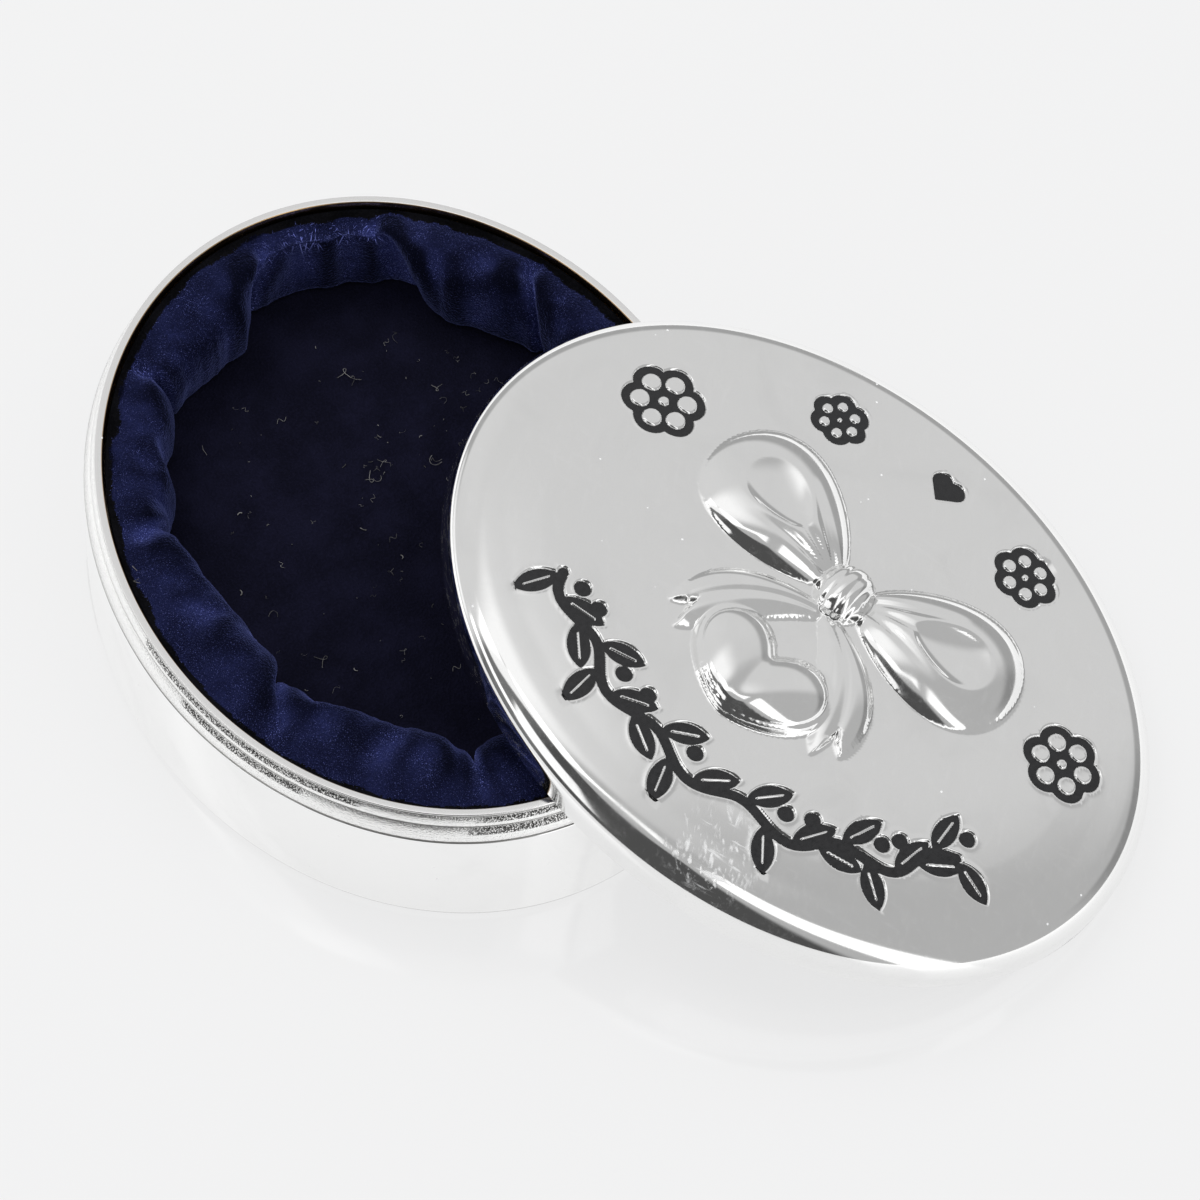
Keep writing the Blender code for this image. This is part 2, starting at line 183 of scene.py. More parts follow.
half = TABLE_SPAN / 2
table_corners = [(x * half, y * half, -TABLE_DROP) for x, y in ((-1, -1), (1, -1), (1, 1), (-1, 1))]
table = mesh_object("table", table_corners, [(0, 1, 2, 3)])
table_finish, nodes, shader, place = new_finish("white_acrylic")
tint = mix(nodes, cloud(nodes, place, 9.0, 3.0), *TABLE_COLOURS)
nodes.links.new(tint, shader.inputs["Base Color"])
shader.inputs["Roughness"].default_value = 0.09
shader.inputs["IOR"].default_value = 1.49
shader.inputs["Emission Color"].default_value = (1, 1, 1, 1)
shader.inputs["Emission Strength"].default_value = TABLE_GLOW
table.data.materials.append(table_finish)

bpy.ops.mesh.primitive_uv_sphere_add(segments=64, ring_count=32, radius=TENT_RADIUS * MM)
tent = bpy.context.object
tent.name = "light_tent"
tent.data.shade_smooth()
tent.visible_camera = False
tent.visible_diffuse = False
tent.visible_shadow = False
cloth_light = bpy.data.materials.new("tent_cloth")
cloth_light.use_nodes = True
nodes = cloth_light.node_tree
nodes.nodes.remove(nodes.nodes["Principled BSDF"])
place = add_node(nodes, "ShaderNodeTexCoord").outputs["Object"]
direction = add_node(nodes, "ShaderNodeVectorMath", {0: place}, operation="NORMALIZE").outputs[0]
along = add_node(nodes, "ShaderNodeSeparateXYZ", {0: direction})
height = maths(nodes, "DEGREES", maths(nodes, "ARCSINE", along.outputs["Z"]))
bearing = maths(nodes, "DEGREES", maths(nodes, "ARCTAN2", along.outputs["Y"], along.outputs["X"]))


def window(value, middle, reach, soft):
    """1 where a socket's value lies within reach of the middle, 0 past a soft edge."""
    away = maths(nodes, "ABSOLUTE", maths(nodes, "SUBTRACT", value, middle))
    return ramp(nodes, away, reach, reach + soft, 1.0, 0.0)


def patch(sideways, upright):
    """1 in a patch of the tent, given by the middle, reach and soft edge of its bearing and height."""
    return times(nodes, window(bearing, *sideways), window(height, *upright))


across, toward = along.outputs["X"], along.outputs["Y"]
wall = ramp(nodes, across, *CLOTH_SIDES)
near, left, right = OVERHEAD_FADES
overhead = times(nodes, ramp(nodes, toward, *near, 0.0, OVERHEAD_LIGHT), ramp(nodes, across, *left, 0.1, 1.0),
                 ramp(nodes, across, *right, 1.0, 0.0))
wall = maths(nodes, "ADD", wall, overhead)
wall = less(nodes, wall, times(nodes, patch(*ROOM), ROOM_SHADE))
behind = times(nodes, maths(nodes, "SUBTRACT", toward, across), math.sqrt(0.5))
behind = times(nodes, ramp(nodes, behind, *BEHIND_FADES[0]), ramp(nodes, height, *BEHIND_FADES[1]))
wall = less(nodes, wall, times(nodes, behind, BEHIND_SHADE))
middle = maths(nodes, "ADD", *(ramp(nodes, across, *bend) for bend in PANEL_BENDS))
panel = times(nodes, window(maths(nodes, "SUBTRACT", toward, middle), *PANEL),
              ramp(nodes, across, *PANEL_ENDS[0]), ramp(nodes, height, *PANEL_ENDS[1]))
gap_place = maths(nodes, "ADD", *(times(nodes, *pair) for pair in zip((across, toward), PANEL_GAP_WAY)))
panel = less(nodes, panel, window(gap_place, *PANEL_GAP))
lit = maths(nodes, "MAXIMUM", times(nodes, panel, PANEL_LIGHT), times(nodes, patch(*EDGE), EDGE_LIGHT))
for lit_patch in (STRIP, CARD):
    lit = maths(nodes, "MAXIMUM", lit, patch(*lit_patch))
glow = maths(nodes, "ADD", wall, lit)
emission = add_node(nodes, "ShaderNodeEmission", {"Color": (1.0, 1.0, 1.0, 1), "Strength": glow})
nodes.links.new(emission.outputs[0], nodes.nodes["Material Output"].inputs["Surface"])
tent.data.materials.append(cloth_light)


def softbox(name, bearing, height, power):
    """An area lamp that looks at the middle of the box and that gloss doesn't show."""
    lamp = bpy.data.lights.new(name, "AREA")
    lamp.size = LAMP_SIZE * MM
    lamp.energy = power
    holder = bpy.data.objects.new(name, lamp)
    scene.collection.objects.link(holder)
    turn, rise = math.radians(bearing), math.radians(height)
    out = Vector((math.cos(turn) * math.cos(rise), math.sin(turn) * math.cos(rise), math.sin(rise)))
    holder.location = out * LAMP_AWAY * MM
    holder.rotation_euler = (-out).to_track_quat("-Z", "Y").to_euler()
    holder.visible_glossy = False


softbox("key_lamp", *KEY_LAMP)
softbox("fill_lamp", *FILL_LAMP)


# Box body: a cup pressed from sheet metal, silver plated and polished, with a flat base, a
# rounded foot and a slight draft. Turned from its profile, then drawn to the oval.
PARALLEL_BAND = 4.0
BODY_WALL = 0.7
BASE_THICKNESS = 0.8
BODY_DRAFT = 0.35
FOOT_RADIUS = 0.8
INNER_FILLET = 0.4
EASED_EDGE = 0.12
ROUND_STEPS = 360
SCRATCH_SETS = ((2.5, 1500.0), (2.72, 2100.0), (2.95, 1700.0), (0.7, 1900.0))
SCRATCH_LENGTH = 6.0
SCRATCH_EDGE = (0.74, 0.78)
SCRATCH_SPOT = (0.0015, 0.0048)
SCRATCH_AWAY = 0.06
SCRATCH_DULL = 0.8
SCRATCH_ROUGH = 0.4
SCRATCH_CUT = 0.05
SMEAR_SCALE = 140.0
SMEAR_EDGE = (0.45, 0.75)
SMEAR_SHADE = 0.965
DUST_SCALE = 620.0
DUST_CHANCE = (0.8, 0.82)
DUST_SPECK = (0.035, 0.075)
DUST_ROUGH = 0.5
DUST_COLOUR = (0.99, 0.99, 0.98)
RIPPLE_SCALE = 120.0

foot_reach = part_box("box_body")[1] / MM
half_length = foot_reach.x - BODY_DRAFT
flattening = foot_reach.x - foot_reach.y
core = half_length - PARALLEL_BAND
body_height = foot_reach.z


def squeeze(radius):
    """Width over length of the oval that a turned ring of this radius becomes."""
    return 1 - flattening / np.maximum(radius, core)


def ring_of(x, y):
    """Radius of the turned ring that becomes the oval through each point."""
    radius = np.hypot(x, y)
    for _ in range(20):
        radius = np.hypot(x, y / squeeze(radius))
    return radius


def arc(x, z, width, height, start, end, steps):
    """Points on an elliptic arc about (x, z), from one angle in degrees to another."""
    angles = np.radians(np.linspace(start, end, steps + 1))
    return [(x + width * math.cos(angle), z + height * math.sin(angle)) for angle in angles]


def turned_points(profile, steps, shape=None):
    """Rows of points round the oval, one row for each (radius, height) of the profile."""
    bearings = np.arange(steps) * 2 * math.pi / steps
    radius, height = (np.array(values)[:, None] for values in zip(*profile))
    radius, height, bearings = np.broadcast_arrays(radius, height, bearings[None, :])
    if shape:
        radius, bearings, height = shape(radius, bearings, height)
    return np.stack([radius * np.cos(bearings), radius * np.sin(bearings) * squeeze(radius), height], 2)


def band_faces(rows, steps, closed, first=0):
    """Quads between rows of points; closed joins the last row to the first."""
    faces = []
    for row in range(rows if closed else rows - 1):
        upper, lower = first + row * steps, first + (row + 1) % rows * steps
        for step in range(steps):
            after = (step + 1) % steps
            faces.append((upper + step, lower + step, lower + after, upper + after))
    return faces


def turned(name, profile, steps=ROUND_STEPS, closed=False, shape=None):
    """A piece turned from its profile: a ring where closed, or else a solid whose profile
    starts and ends on the axis."""
    if closed:
        points = turned_points(profile, steps, shape)
        return mesh_object(name, points.reshape(-1, 3), band_faces(len(profile), steps, True))
    points = turned_points(profile[1:-1], steps, shape)
    rows = len(profile) - 2
    faces = band_faces(rows, steps, False)
    top, bottom = rows * steps, rows * steps + 1
    for step in range(steps):
        after = (step + 1) % steps
        faces.append((top, step, after))
        faces.append((bottom, top - steps + after, top - steps + step))
    ends = [(0, 0, profile[0][1]), (0, 0, profile[-1][1])]
    return mesh_object(name, np.concatenate([points.reshape(-1, 3), ends]), faces)


def middles_of(piece):
    """The middles of a piece's faces, in millimetres."""
    return np.array([face.center for face in piece.data.polygons]) / MM


def wear_group():
    """Node group of hairline scratches, gathered at one spot, with faint smears and dust."""
    group = bpy.data.node_groups.new("polish_wear", "ShaderNodeTree")
    group.interface.new_socket(name="Spot", in_out="INPUT", socket_type="NodeSocketVector")
    group.interface.new_socket(name="Density", in_out="INPUT", socket_type="NodeSocketFloat")
    for label in ("Scratches", "Smears", "Dust"):
        group.interface.new_socket(name=label, in_out="OUTPUT", socket_type="NodeSocketFloat")
    given = group.nodes.new("NodeGroupInput")
    result = group.nodes.new("NodeGroupOutput")
    spot = add_node(group, "ShaderNodeTexCoord").outputs["Object"]
    faintest = maths(group, "SUBTRACT", SCRATCH_EDGE[0], given.outputs["Density"])
    total = 0.0
    for turn, scale in SCRATCH_SETS:
        drawn_out = (SCRATCH_LENGTH / scale, 1 / scale, 1 / scale)
        lines = add_node(group, "ShaderNodeMapping", {"Vector": spot, "Rotation": (0.1, 0.2, turn),
                                                      "Scale": drawn_out}, vector_type="TEXTURE")
        streaks = cloud(group, lines.outputs[0], 1.0, 2.0, Roughness=0.6)
        total = maths(group, "MAXIMUM", total, ramp(group, streaks, faintest, SCRATCH_EDGE[1]))
    near = add_node(group, "ShaderNodeVectorMath", {0: spot, 1: given.outputs["Spot"]}, operation="DISTANCE")
    local = ramp(group, near.outputs["Value"], *SCRATCH_SPOT, 1.0, SCRATCH_AWAY)
    group.links.new(times(group, total, local), result.inputs["Scratches"])
    smear = cloud(group, spot, SMEAR_SCALE, 4.0, Roughness=0.55, Distortion=0.8)
    group.links.new(ramp(group, smear, *SMEAR_EDGE), result.inputs["Smears"])
    specks = add_node(group, "ShaderNodeTexVoronoi", {"Vector": spot, "Scale": DUST_SCALE})
    chance = add_node(group, "ShaderNodeSeparateXYZ", {0: specks.outputs["Color"]}).outputs["X"]
    speck = ramp(group, specks.outputs["Distance"], *DUST_SPECK, 1.0, 0.0)
    group.links.new(times(group, ramp(group, chance, *DUST_CHANCE), speck), result.inputs["Dust"])
    return group


polish_wear = wear_group()


def silver(name, colour, smooth, hazy, spot=(0, 0, 0), density=0.0, ripple=0.0):
    """Plated metal: mirror polish with smears that haze it, dust, hairlines and a faint ripple."""
    made, tree, shader, place = new_finish(name)
    wear = tree.nodes.new("ShaderNodeGroup")
    wear.node_tree = polish_wear
    wear.inputs["Spot"].default_value = [value * MM for value in spot]
    wear.inputs["Density"].default_value = density
    scratches, smears, dust = (wear.outputs[label] for label in ("Scratches", "Smears", "Dust"))
    stain = mix(tree, smears, colour, tuple(SMEAR_SHADE * value for value in colour))
    tree.links.new(mix(tree, dust, stain, DUST_COLOUR), shader.inputs["Base Color"])
    dull = maths(tree, "MAXIMUM", times(tree, scratches, SCRATCH_DULL), dust)
    tree.links.new(maths(tree, "SUBTRACT", 1.0, dull), shader.inputs["Metallic"])
    rough = maths(tree, "ADD", ramp(tree, smears, 0, 1, smooth, hazy), times(tree, scratches, SCRATCH_ROUGH))
    rough = maths(tree, "ADD", rough, times(tree, dust, DUST_ROUGH))
    tree.links.new(rough, shader.inputs["Roughness"])
    wave = times(tree, cloud(tree, place, RIPPLE_SCALE, 1.0), ripple)
    bumped(tree, shader, maths(tree, "ADD", wave, times(tree, scratches, -SCRATCH_CUT)), 0.0001)
    return made


body_inner = half_length - BODY_WALL
foot = half_length + BODY_DRAFT
body_profile = [(0, BASE_THICKNESS), (core, BASE_THICKNESS)]
body_profile += arc(body_inner - INNER_FILLET, BASE_THICKNESS + INNER_FILLET, INNER_FILLET, INNER_FILLET,
                    -90, 0, 6)
body_profile += arc(body_inner + EASED_EDGE, body_height - EASED_EDGE, EASED_EDGE, EASED_EDGE, 180, 90, 4)
body_profile += arc(half_length - EASED_EDGE, body_height - EASED_EDGE, EASED_EDGE, EASED_EDGE, 90, 0, 4)
body_profile += arc(foot - FOOT_RADIUS, FOOT_RADIUS, FOOT_RADIUS, FOOT_RADIUS, 0, -90, 10)
body_profile += [(core, 0), (0, 0)]
body = turned("body_shell", body_profile)
body.data.materials.append(silver("polished_plate_body", (0.99, 0.99, 0.985), 0.06, 0.13, ripple=0.15))
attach(body, "box")
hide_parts("box_body")


# Collar: a sleeve pressed into the body. Its neck carries two sloped bands with grooves over
# them, and the lower one covers the body's edge. Under the plate the bands are left rough from
# the lathe in patches, whose dark pits are partly real and partly a painted dark reflection; the
# grooves and the seam are tarnished, and brass shows at the mouth.
COLLAR_WALL = 0.6
FIT = 0.3
SEAM = 0.08
FLANGE_INSET = 0.05
FLANGE_EDGE = 0.1
NECK_INSET = 0.98
NECK_EDGE = 0.1
GROOVE = 0.14
GROOVE_WIDTH = 0.1
GROOVE_LIP = 0.02
BANDS = ((0.22, 0.36, 0.66), (1.06, 0.44, 0.86))
BAND_SHARES = (0.05, 0.2, 0.35, 0.5, 0.65, 0.8, 0.95)
BAND_EDGE = 0.05
BAND_BULGE = 0.12
BRASS_REACH = 0.07
TARNISH_DEPTH = 0.03
# Height below which the foot gets its painted contact shadow.
FOOT_SHADOW_HEIGHT = 0.62
UPPER_BAND = (0.24, 0.70)
LOWER_BAND = (1.08, 1.70)
# Patches of dark pits, partly real and partly a painted dark reflection: bearing, reach, and top and foot
# depth.
PITTED_DARK_REFLECTION_PATCHES = ((-57.0, 25.0, *UPPER_BAND), (-55.0, 14.0, 1.08, 1.60), (-5.0, 9.0, *UPPER_BAND),
                 (-5.0, 9.0, *LOWER_BAND))
PATCH_EDGE = 0.06
PATCH_FADE = (6.0, 9.0)
PATCH_RAGGED = 14.0
SMOOTH_TOP = (0.12, 0.3)
GRIT_SCALE = 8500.0
LATHE_MARKS = (3000.0, 3000.0, 200.0)
LATHE_MARK_HEIGHT = 0.08
PITS = (0.40, 0.54)
PLATE_COLOUR = (0.98, 0.98, 0.97)
PIT_AND_REFLECTION_COLOUR = (0.07, 0.068, 0.066)

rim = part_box("neck_collar")[1].z / MM
sleeve_outer = body_inner - FIT
mouth = sleeve_outer - COLLAR_WALL
neck = half_length - NECK_INSET
flange_bottom = body_height + SEAM
flange = half_length - FLANGE_INSET
sleeve_foot = BASE_THICKNESS + INNER_FILLET + FIT
collar_profile = arc(mouth + EASED_EDGE, rim - EASED_EDGE, EASED_EDGE, EASED_EDGE, 180, 90, 4)
collar_profile += arc(neck - NECK_EDGE, rim - NECK_EDGE, NECK_EDGE, NECK_EDGE, 90, 0, 5)
reach = neck
for drop, width, fall in BANDS:
    top = rim - drop
    collar_profile += [(reach, top + GROOVE_WIDTH), (reach - GROOVE, top + GROOVE_WIDTH / 2),
                       (reach, top - GROOVE_LIP)]
    for share in BAND_SHARES:
        bulge = BAND_BULGE * math.sin(math.pi * share)
        collar_profile.append((reach + width * share, top - GROOVE_LIP - fall * share + bulge))
    reach += width
    collar_profile += arc(reach - BAND_EDGE, top - fall - BAND_EDGE, BAND_EDGE, BAND_EDGE, 45, 0, 3)
collar_profile += [(flange, flange_bottom + FLANGE_EDGE), (flange - FLANGE_EDGE / 2, flange_bottom),
                   (sleeve_outer, flange_bottom), (sleeve_outer, sleeve_foot), (mouth, sleeve_foot)]
collar = turned("ribbed_collar", collar_profile, closed=True)


def rough_plate_painted_reflection(name, colour, top):
    """Plate over metal left rough from the lathe: it sparkles below its smooth top face, which
    has fine marks across it, and has near-black pits in patches, partly real pits and partly a
    painted dark reflection."""
    made = silver(name, colour, 0.12, 0.2)
    tree = made.node_tree
    shader = tree.nodes["Principled BSDF"]
    place = add_node(tree, "ShaderNodeTexCoord").outputs["Object"]
    along = add_node(tree, "ShaderNodeSeparateXYZ", {0: place}).outputs
    rough = ramp(tree, along["Z"], *(top - drop * MM for drop in SMOOTH_TOP))
    grit = cloud(tree, place, GRIT_SCALE, 2.0, Roughness=0.6)
    stretched = add_node(tree, "ShaderNodeMapping", {"Vector": place, "Scale": LATHE_MARKS})
    marks = less(tree, cloud(tree, stretched.outputs[0], 1.0, 2.0), rough)
    height = maths(tree, "ADD", times(tree, rough, grit), times(tree, marks, LATHE_MARK_HEIGHT))
    bearing = maths(tree, "DEGREES", maths(tree, "ARCTAN2", along["Y"], along["X"]))
    ragged = times(tree, cloud(tree, place, 500.0, 3.0), PATCH_RAGGED)
    pits_and_dark_reflection = 0.0
    for centre, reach, upper, lower in PITTED_DARK_REFLECTION_PATCHES:
        away = maths(tree, "ABSOLUTE", maths(tree, "SUBTRACT", bearing, centre))
        away = maths(tree, "ADD", away, ragged)
        here = times(tree, ramp(tree, away, *(reach + fade for fade in PATCH_FADE), 1.0, 0.0),
                     ramp(tree, along["Z"], top - (upper + PATCH_EDGE) * MM, top - upper * MM, 1.0, 0.0),
                     ramp(tree, along["Z"], top - lower * MM, top - (lower - PATCH_EDGE) * MM))
        pits_and_dark_reflection = maths(tree, "MAXIMUM", pits_and_dark_reflection, here)
    # Painted reflection: the pits in the patches are coloured near black where the bands reflect dark.
    pits_in_painted_reflection = times(tree, pits_and_dark_reflection, ramp(tree, grit, *PITS))
    polish = mix(tree, rough, colour, PLATE_COLOUR)
    tree.links.new(mix(tree, pits_in_painted_reflection, polish, PIT_AND_REFLECTION_COLOUR), shader.inputs["Base Color"])
    bumped(tree, shader, height, 0.00005)
    tree.links.new(ramp(tree, rough, 0, 1, 0.22, 0.12), shader.inputs["Roughness"])
    return made


collar.data.materials.append(rough_plate_painted_reflection("turned_plate_collar", (0.94, 0.935, 0.93), rim * MM))
collar.data.materials.append(silver("bare_brass", (0.62, 0.42, 0.22), 0.2, 0.3))
tarnish = silver("seam_tarnish", (0.43, 0.425, 0.415), 0.35, 0.5)
collar.data.materials.append(tarnish)
body.data.materials.append(tarnish)
# Painted shadow: a darker plate colour on the foot stands for the contact shadow where the body meets the
# table.
body.data.materials.append(silver("painted_foot_shadow", (0.68, 0.68, 0.67), 0.15, 0.25))
middles = middles_of(collar)
reaches = ring_of(middles[:, 0], middles[:, 1])
seam_part = middles[:, 2] < flange_bottom + TARNISH_DEPTH
coats = np.where(reaches < mouth + BRASS_REACH, 1, np.where(seam_part, 2, 0))
reach = neck
for drop, width, fall in BANDS:
    level = np.abs(middles[:, 2] - rim + drop - GROOVE_WIDTH / 2) < GROOVE_WIDTH / 2
    coats[level & (reaches < reach - 0.01) & (reaches > neck - 2 * GROOVE)] = 2
    reach += width
collar.data.polygons.foreach_set("material_index", coats.astype(np.int32))
# Body faces: tarnish at the top edge, and the painted contact shadow on the foot.
heights = middles_of(body)[:, 2]
coats = np.where(heights > body_height - TARNISH_DEPTH, 1, np.where(heights < FOOT_SHADOW_HEIGHT, 2, 0))
body.data.polygons.foreach_set("material_index", coats.astype(np.int32))
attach(collar, "box")
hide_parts("neck_collar")


# Cards and wadding: plain grey board behind and under the lining, and a white pad of wadding
# that crowns the floor. All are hidden when the box is together.
def board(name, colour, grain, rough):
    """Dull board or wadding with fibres of two sizes."""
    made, tree, shader, place = new_finish(name)
    fibre = cloud(tree, place, grain, 6.0)
    darker = tuple(0.8 * value for value in colour)
    tree.links.new(mix(tree, fibre, colour, darker), shader.inputs["Base Color"])
    shader.inputs["Roughness"].default_value = rough
    bumped(tree, shader, fibre, 0.00015)
    return made


def recoat(node, finish):
    """Give a CAD node its finish."""
    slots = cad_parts[node].data.materials
    slots.clear()
    slots.append(finish)


grey_board = board("grey_board", (0.42, 0.40, 0.37), 900.0, 0.9)
for node in ("wall_card", "floor_card", "lid_card"):
    recoat(node, grey_board)

WADDING_CROWN = 0.4
wadding_low, wadding_high = (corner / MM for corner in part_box("floor_wadding"))
wadding_edge = wadding_high.x
wadding_half = (wadding_high.z - WADDING_CROWN - wadding_low.z) / 2
wadding_profile = [(wadding_edge * share, wadding_high.z - WADDING_CROWN * (1 - (1 - share ** 2) ** 2))
                   for share in np.arange(20) / 20]
wadding_profile += arc(wadding_edge - wadding_half, wadding_low.z + wadding_half, wadding_half, wadding_half,
                       90, -90, 6)
wadding_profile += [(wadding_edge * step / 10, wadding_low.z) for step in range(9, -1, -1)]
wadding = turned("wadding_pad", wadding_profile, 180)
wadding.data.materials.append(board("white_wadding", (0.82, 0.82, 0.80), 500.0, 0.97))
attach(wadding, "box")
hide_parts("floor_wadding")


# Floor velvet: navy cotton velvet drawn over the wadding, level at its edge where the wall's
# puffs stand on it. Its short pile looks almost black from above; as painted shade, its copy of
# the velvet has greyer colours and less sheen than the wall's.
FLOOR_SWELL = 0.12
FLOOR_CROWN = 0.4
FLOOR_FREE = 21.2
FLOOR_FOOT_SHARES = (0.9, 0.75, 0.6, 0.45, 0.3, 0.15, 0)
BRUSH_SCALE = 260.0
BRUSHED = (0.35, 0.7)
BRUSH_SHARE = 0.6
PILE_SCALE = 5200.0
TUFTS = (0.4, 0.7)
# Painted light and shade on the velvet: its colour follows how proud the cloth stands.
PAINTED_FOLD_OFFSET = 0.4


def painted_fold_light(tree, lightness):
    """How light a pile is, with painted light on the ridges and painted shade in the folds that its mesh
    stores.
    """
    fold = add_node(tree, "ShaderNodeAttribute", attribute_name="fold")
    return times(tree, maths(tree, "ADD", lightness, PAINTED_FOLD_OFFSET), fold.outputs["Fac"])


def velvet_finish(name, deep, lit, sheen, tint, fold_light_painted=False):
    """Velvet: near-black pile with brushed patches, under a coloured sheen; where fold light is painted, its
    colour is also painted lighter on ridges and darker in folds.
    """
    made, tree, shader, place = new_finish(name)
    patches = cloud(tree, place, BRUSH_SCALE, 3.0, Roughness=0.6)
    pile = cloud(tree, place, PILE_SCALE, 2.0)
    mixed = maths(tree, "ADD", times(tree, ramp(tree, patches, *BRUSHED), BRUSH_SHARE),
                  times(tree, ramp(tree, pile, *TUFTS), 1 - BRUSH_SHARE))
    if fold_light_painted:
        mixed = painted_fold_light(tree, mixed)
    tree.links.new(mix(tree, mixed, deep, lit), shader.inputs["Base Color"])
    shader.inputs["Roughness"].default_value = 1.0
    shader.inputs["Specular IOR Level"].default_value = 0.0
    shader.inputs["Sheen Weight"].default_value = sheen
    shader.inputs["Sheen Roughness"].default_value = 0.35
    shader.inputs["Sheen Tint"].default_value = (*tint, 1)
    bumped(tree, shader, pile, 0.0002, 0.8)
    return made


floor_low, floor_high = (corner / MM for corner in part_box("floor_velvet"))
floor_edge = floor_high.x


def swell(x, y, size, seed):
    """Smooth unevenness between -1 and 1 at points in millimetres."""
    return np.array([noise.noise(Vector((a / size, b / size, seed))) for a, b in zip(x.ravel(), y.ravel())]
                    ).reshape(x.shape)


crown = floor_high.z - FLOOR_CROWN


def soft_floor(radius, bearing, height):
    """Crown and unevenness of the padded floor."""
    share = np.minimum(radius / FLOOR_FREE, 1.0)
    rise = FLOOR_CROWN * (1 - share ** 2) ** 2
    x, y = radius * np.cos(bearing), radius * np.sin(bearing)
    rise = rise + FLOOR_SWELL * swell(x, y, 6.0, 3.0) * (1 - share ** 4)
    return radius, bearing, height + rise


floor_half = (crown - floor_low.z) / 2
floor_profile = [(0, crown)] + [(floor_edge * step / 40, crown) for step in range(1, 39)]
floor_profile += arc(floor_edge - floor_half, floor_low.z + floor_half, floor_half, floor_half, 90, -90, 8)
floor_profile += [(floor_edge * share, floor_low.z) for share in FLOOR_FOOT_SHARES]
floor_pad = turned("floor_pad", floor_profile, 240, shape=soft_floor)
# Painted shade: the floor's copy of the velvet gets greyer colours and less sheen than the wall's.
floor_pad.data.materials.append(velvet_finish(
    "navy_velvet_floor_painted_shade", (0.0062, 0.0062, 0.013), (0.0112, 0.0112, 0.026), 0.12, (0.2, 0.22, 0.5)))
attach(floor_pad, "box")
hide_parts("floor_velvet")


# Wall velvet: one band of the same velvet, gathered into puffs and glued behind its top edge,
# which shows its black backing where it was cut. A tuck parts each puff from the next, and some
# puffs lap over their neighbours. Cloth simulation fills the puffs; pile and lint come after. As
# painted light, its copy of the velvet has bluer, lighter colours and more sheen than the floor's,
# with painted light on the ridges of the puffs and painted shade in their folds.

# Each puff: where it starts and ends at the rim and at the foot, and its depth at either end.
PUFFS = ((94, 130, 96, 123, 3.4, 3.2), (123, 159, 117, 149, 3.0, 4.2), (146, 196, 146, 199, 0.9, 0.9),
         (184, 224, 190, 223, 4.4, 2.4), (219, 262, 218, 256, 2.6, 4.6), (249, 306, 246, 292, 3.8, 8.6),
         (296, 348, 282, 347, 6.6, 7.6), (340, 386, 342, 383, 6.8, 5.8), (379, 421, 378, 420, 5.4, 4.6),
         (415, 457, 416, 456, 4.0, 3.6))
END_ROUND = 5.0
LEAST_DEPTH = 0.3
PUFF_BACK = 3.2
PUFF_FRONT = 7.4
PUFF_FRONT_AT = 308.0
LAP_CREASE = 1.5
LAP_WIDTH = 0.7
TUCK_DIP = 1.5
PLEAT = 0.28
PLEAT_SIZE = 5.0
PLEAT_LIFT = 0.6
LINING_DROP = 0.95
LIP_OUT = 0.12
LIP_TOP = 0.6
LIP_WIDTH = 0.5
LIP_RAGGED = 0.6
LIP_FRAYED = 0.14
LIP_FOLD = 0.12
LIP_BACK = 0.05
CARD_GAP = 0.15
FOOT_TUCK = 0.6
FOOT_RISE = 0.5
CREST_REACH = 1.1
CREST_RISE = 0.55
CREST_SHARE = 0.24
SHALLOW_CREST = 0.55
FALL_ROUND = (0.8, 0.9)
FOOT_DRAWN_IN = 0.14
UNWRAPPED = 27.0
CLOTH_ROWS = 26
CLOTH_STEPS = 440
CREST_ROWS = 7
SIM_SCALE = 10.0
SIM_FRAMES = 16
SIM_CAP = 1.0
SIM_PRESSURE = 4.0
SLACK = 0.05
TUCK_HELD = 0.45
SOFTEN_PASSES = 4
# How proud the cloth stands where its painted shade and its painted light are full.
PAINTED_SHADE_AT = -0.06
PAINTED_LIGHT_AT = 0.12
FOLD_REACHES = (3, 7)
RAW_FROM = 0.1
RAW_ABOVE = 1.0

card_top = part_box("wall_card")[1].z / MM
lining_top = rim - LINING_DROP
lining_foot = crown + FIT
lip_out = mouth - LIP_OUT


def puff_fullness(bearing, share):
    """How far the velvet stands in past its lip, at a bearing and a share of the way down. Where
    one puff laps over the next, a crease runs between the two."""
    bearing = np.degrees(bearing) % 360
    total = np.full(bearing.shape, LEAST_DEPTH)
    lapped = np.zeros(bearing.shape)
    for rim_from, rim_to, foot_from, foot_to, deep_from, deep_to in PUFFS:
        start = rim_from + (foot_from - rim_from) * share
        span = rim_to + (foot_to - rim_to) * share - start
        along = ((bearing - start) % 360) / span
        inside = np.clip(1 - np.abs(2 * along - 1) ** END_ROUND, 0, 1)
        depth = (deep_from + (deep_to - deep_from) * np.clip(along, 0, 1)) * np.sqrt(inside)
        lapped = np.maximum(lapped, np.minimum(total, depth))
        total = np.maximum(total, depth)
    crease = LAP_CREASE * np.exp(-((total - lapped) / LAP_WIDTH) ** 2) * np.clip(lapped / 2, 0, 1)
    return np.maximum(total - crease, LEAST_DEPTH)


def usual_depth(bearing):
    """Depth of a full puff at a bearing: greatest at the front of the box."""
    front = 0.5 + 0.5 * np.cos(bearing - math.radians(PUFF_FRONT_AT))
    return PUFF_BACK + (PUFF_FRONT - PUFF_BACK) * front


def lip_edge(bearing):
    """Radius of the velvet's cut edge, which is ragged."""
    broad = swell(bearing * UNWRAPPED, bearing * 0, 3.4, 11.0)
    fine = swell(bearing * UNWRAPPED, bearing * 0, 0.6, 13.0)
    return lip_out - LIP_WIDTH - LIP_RAGGED * broad - LIP_FRAYED * fine


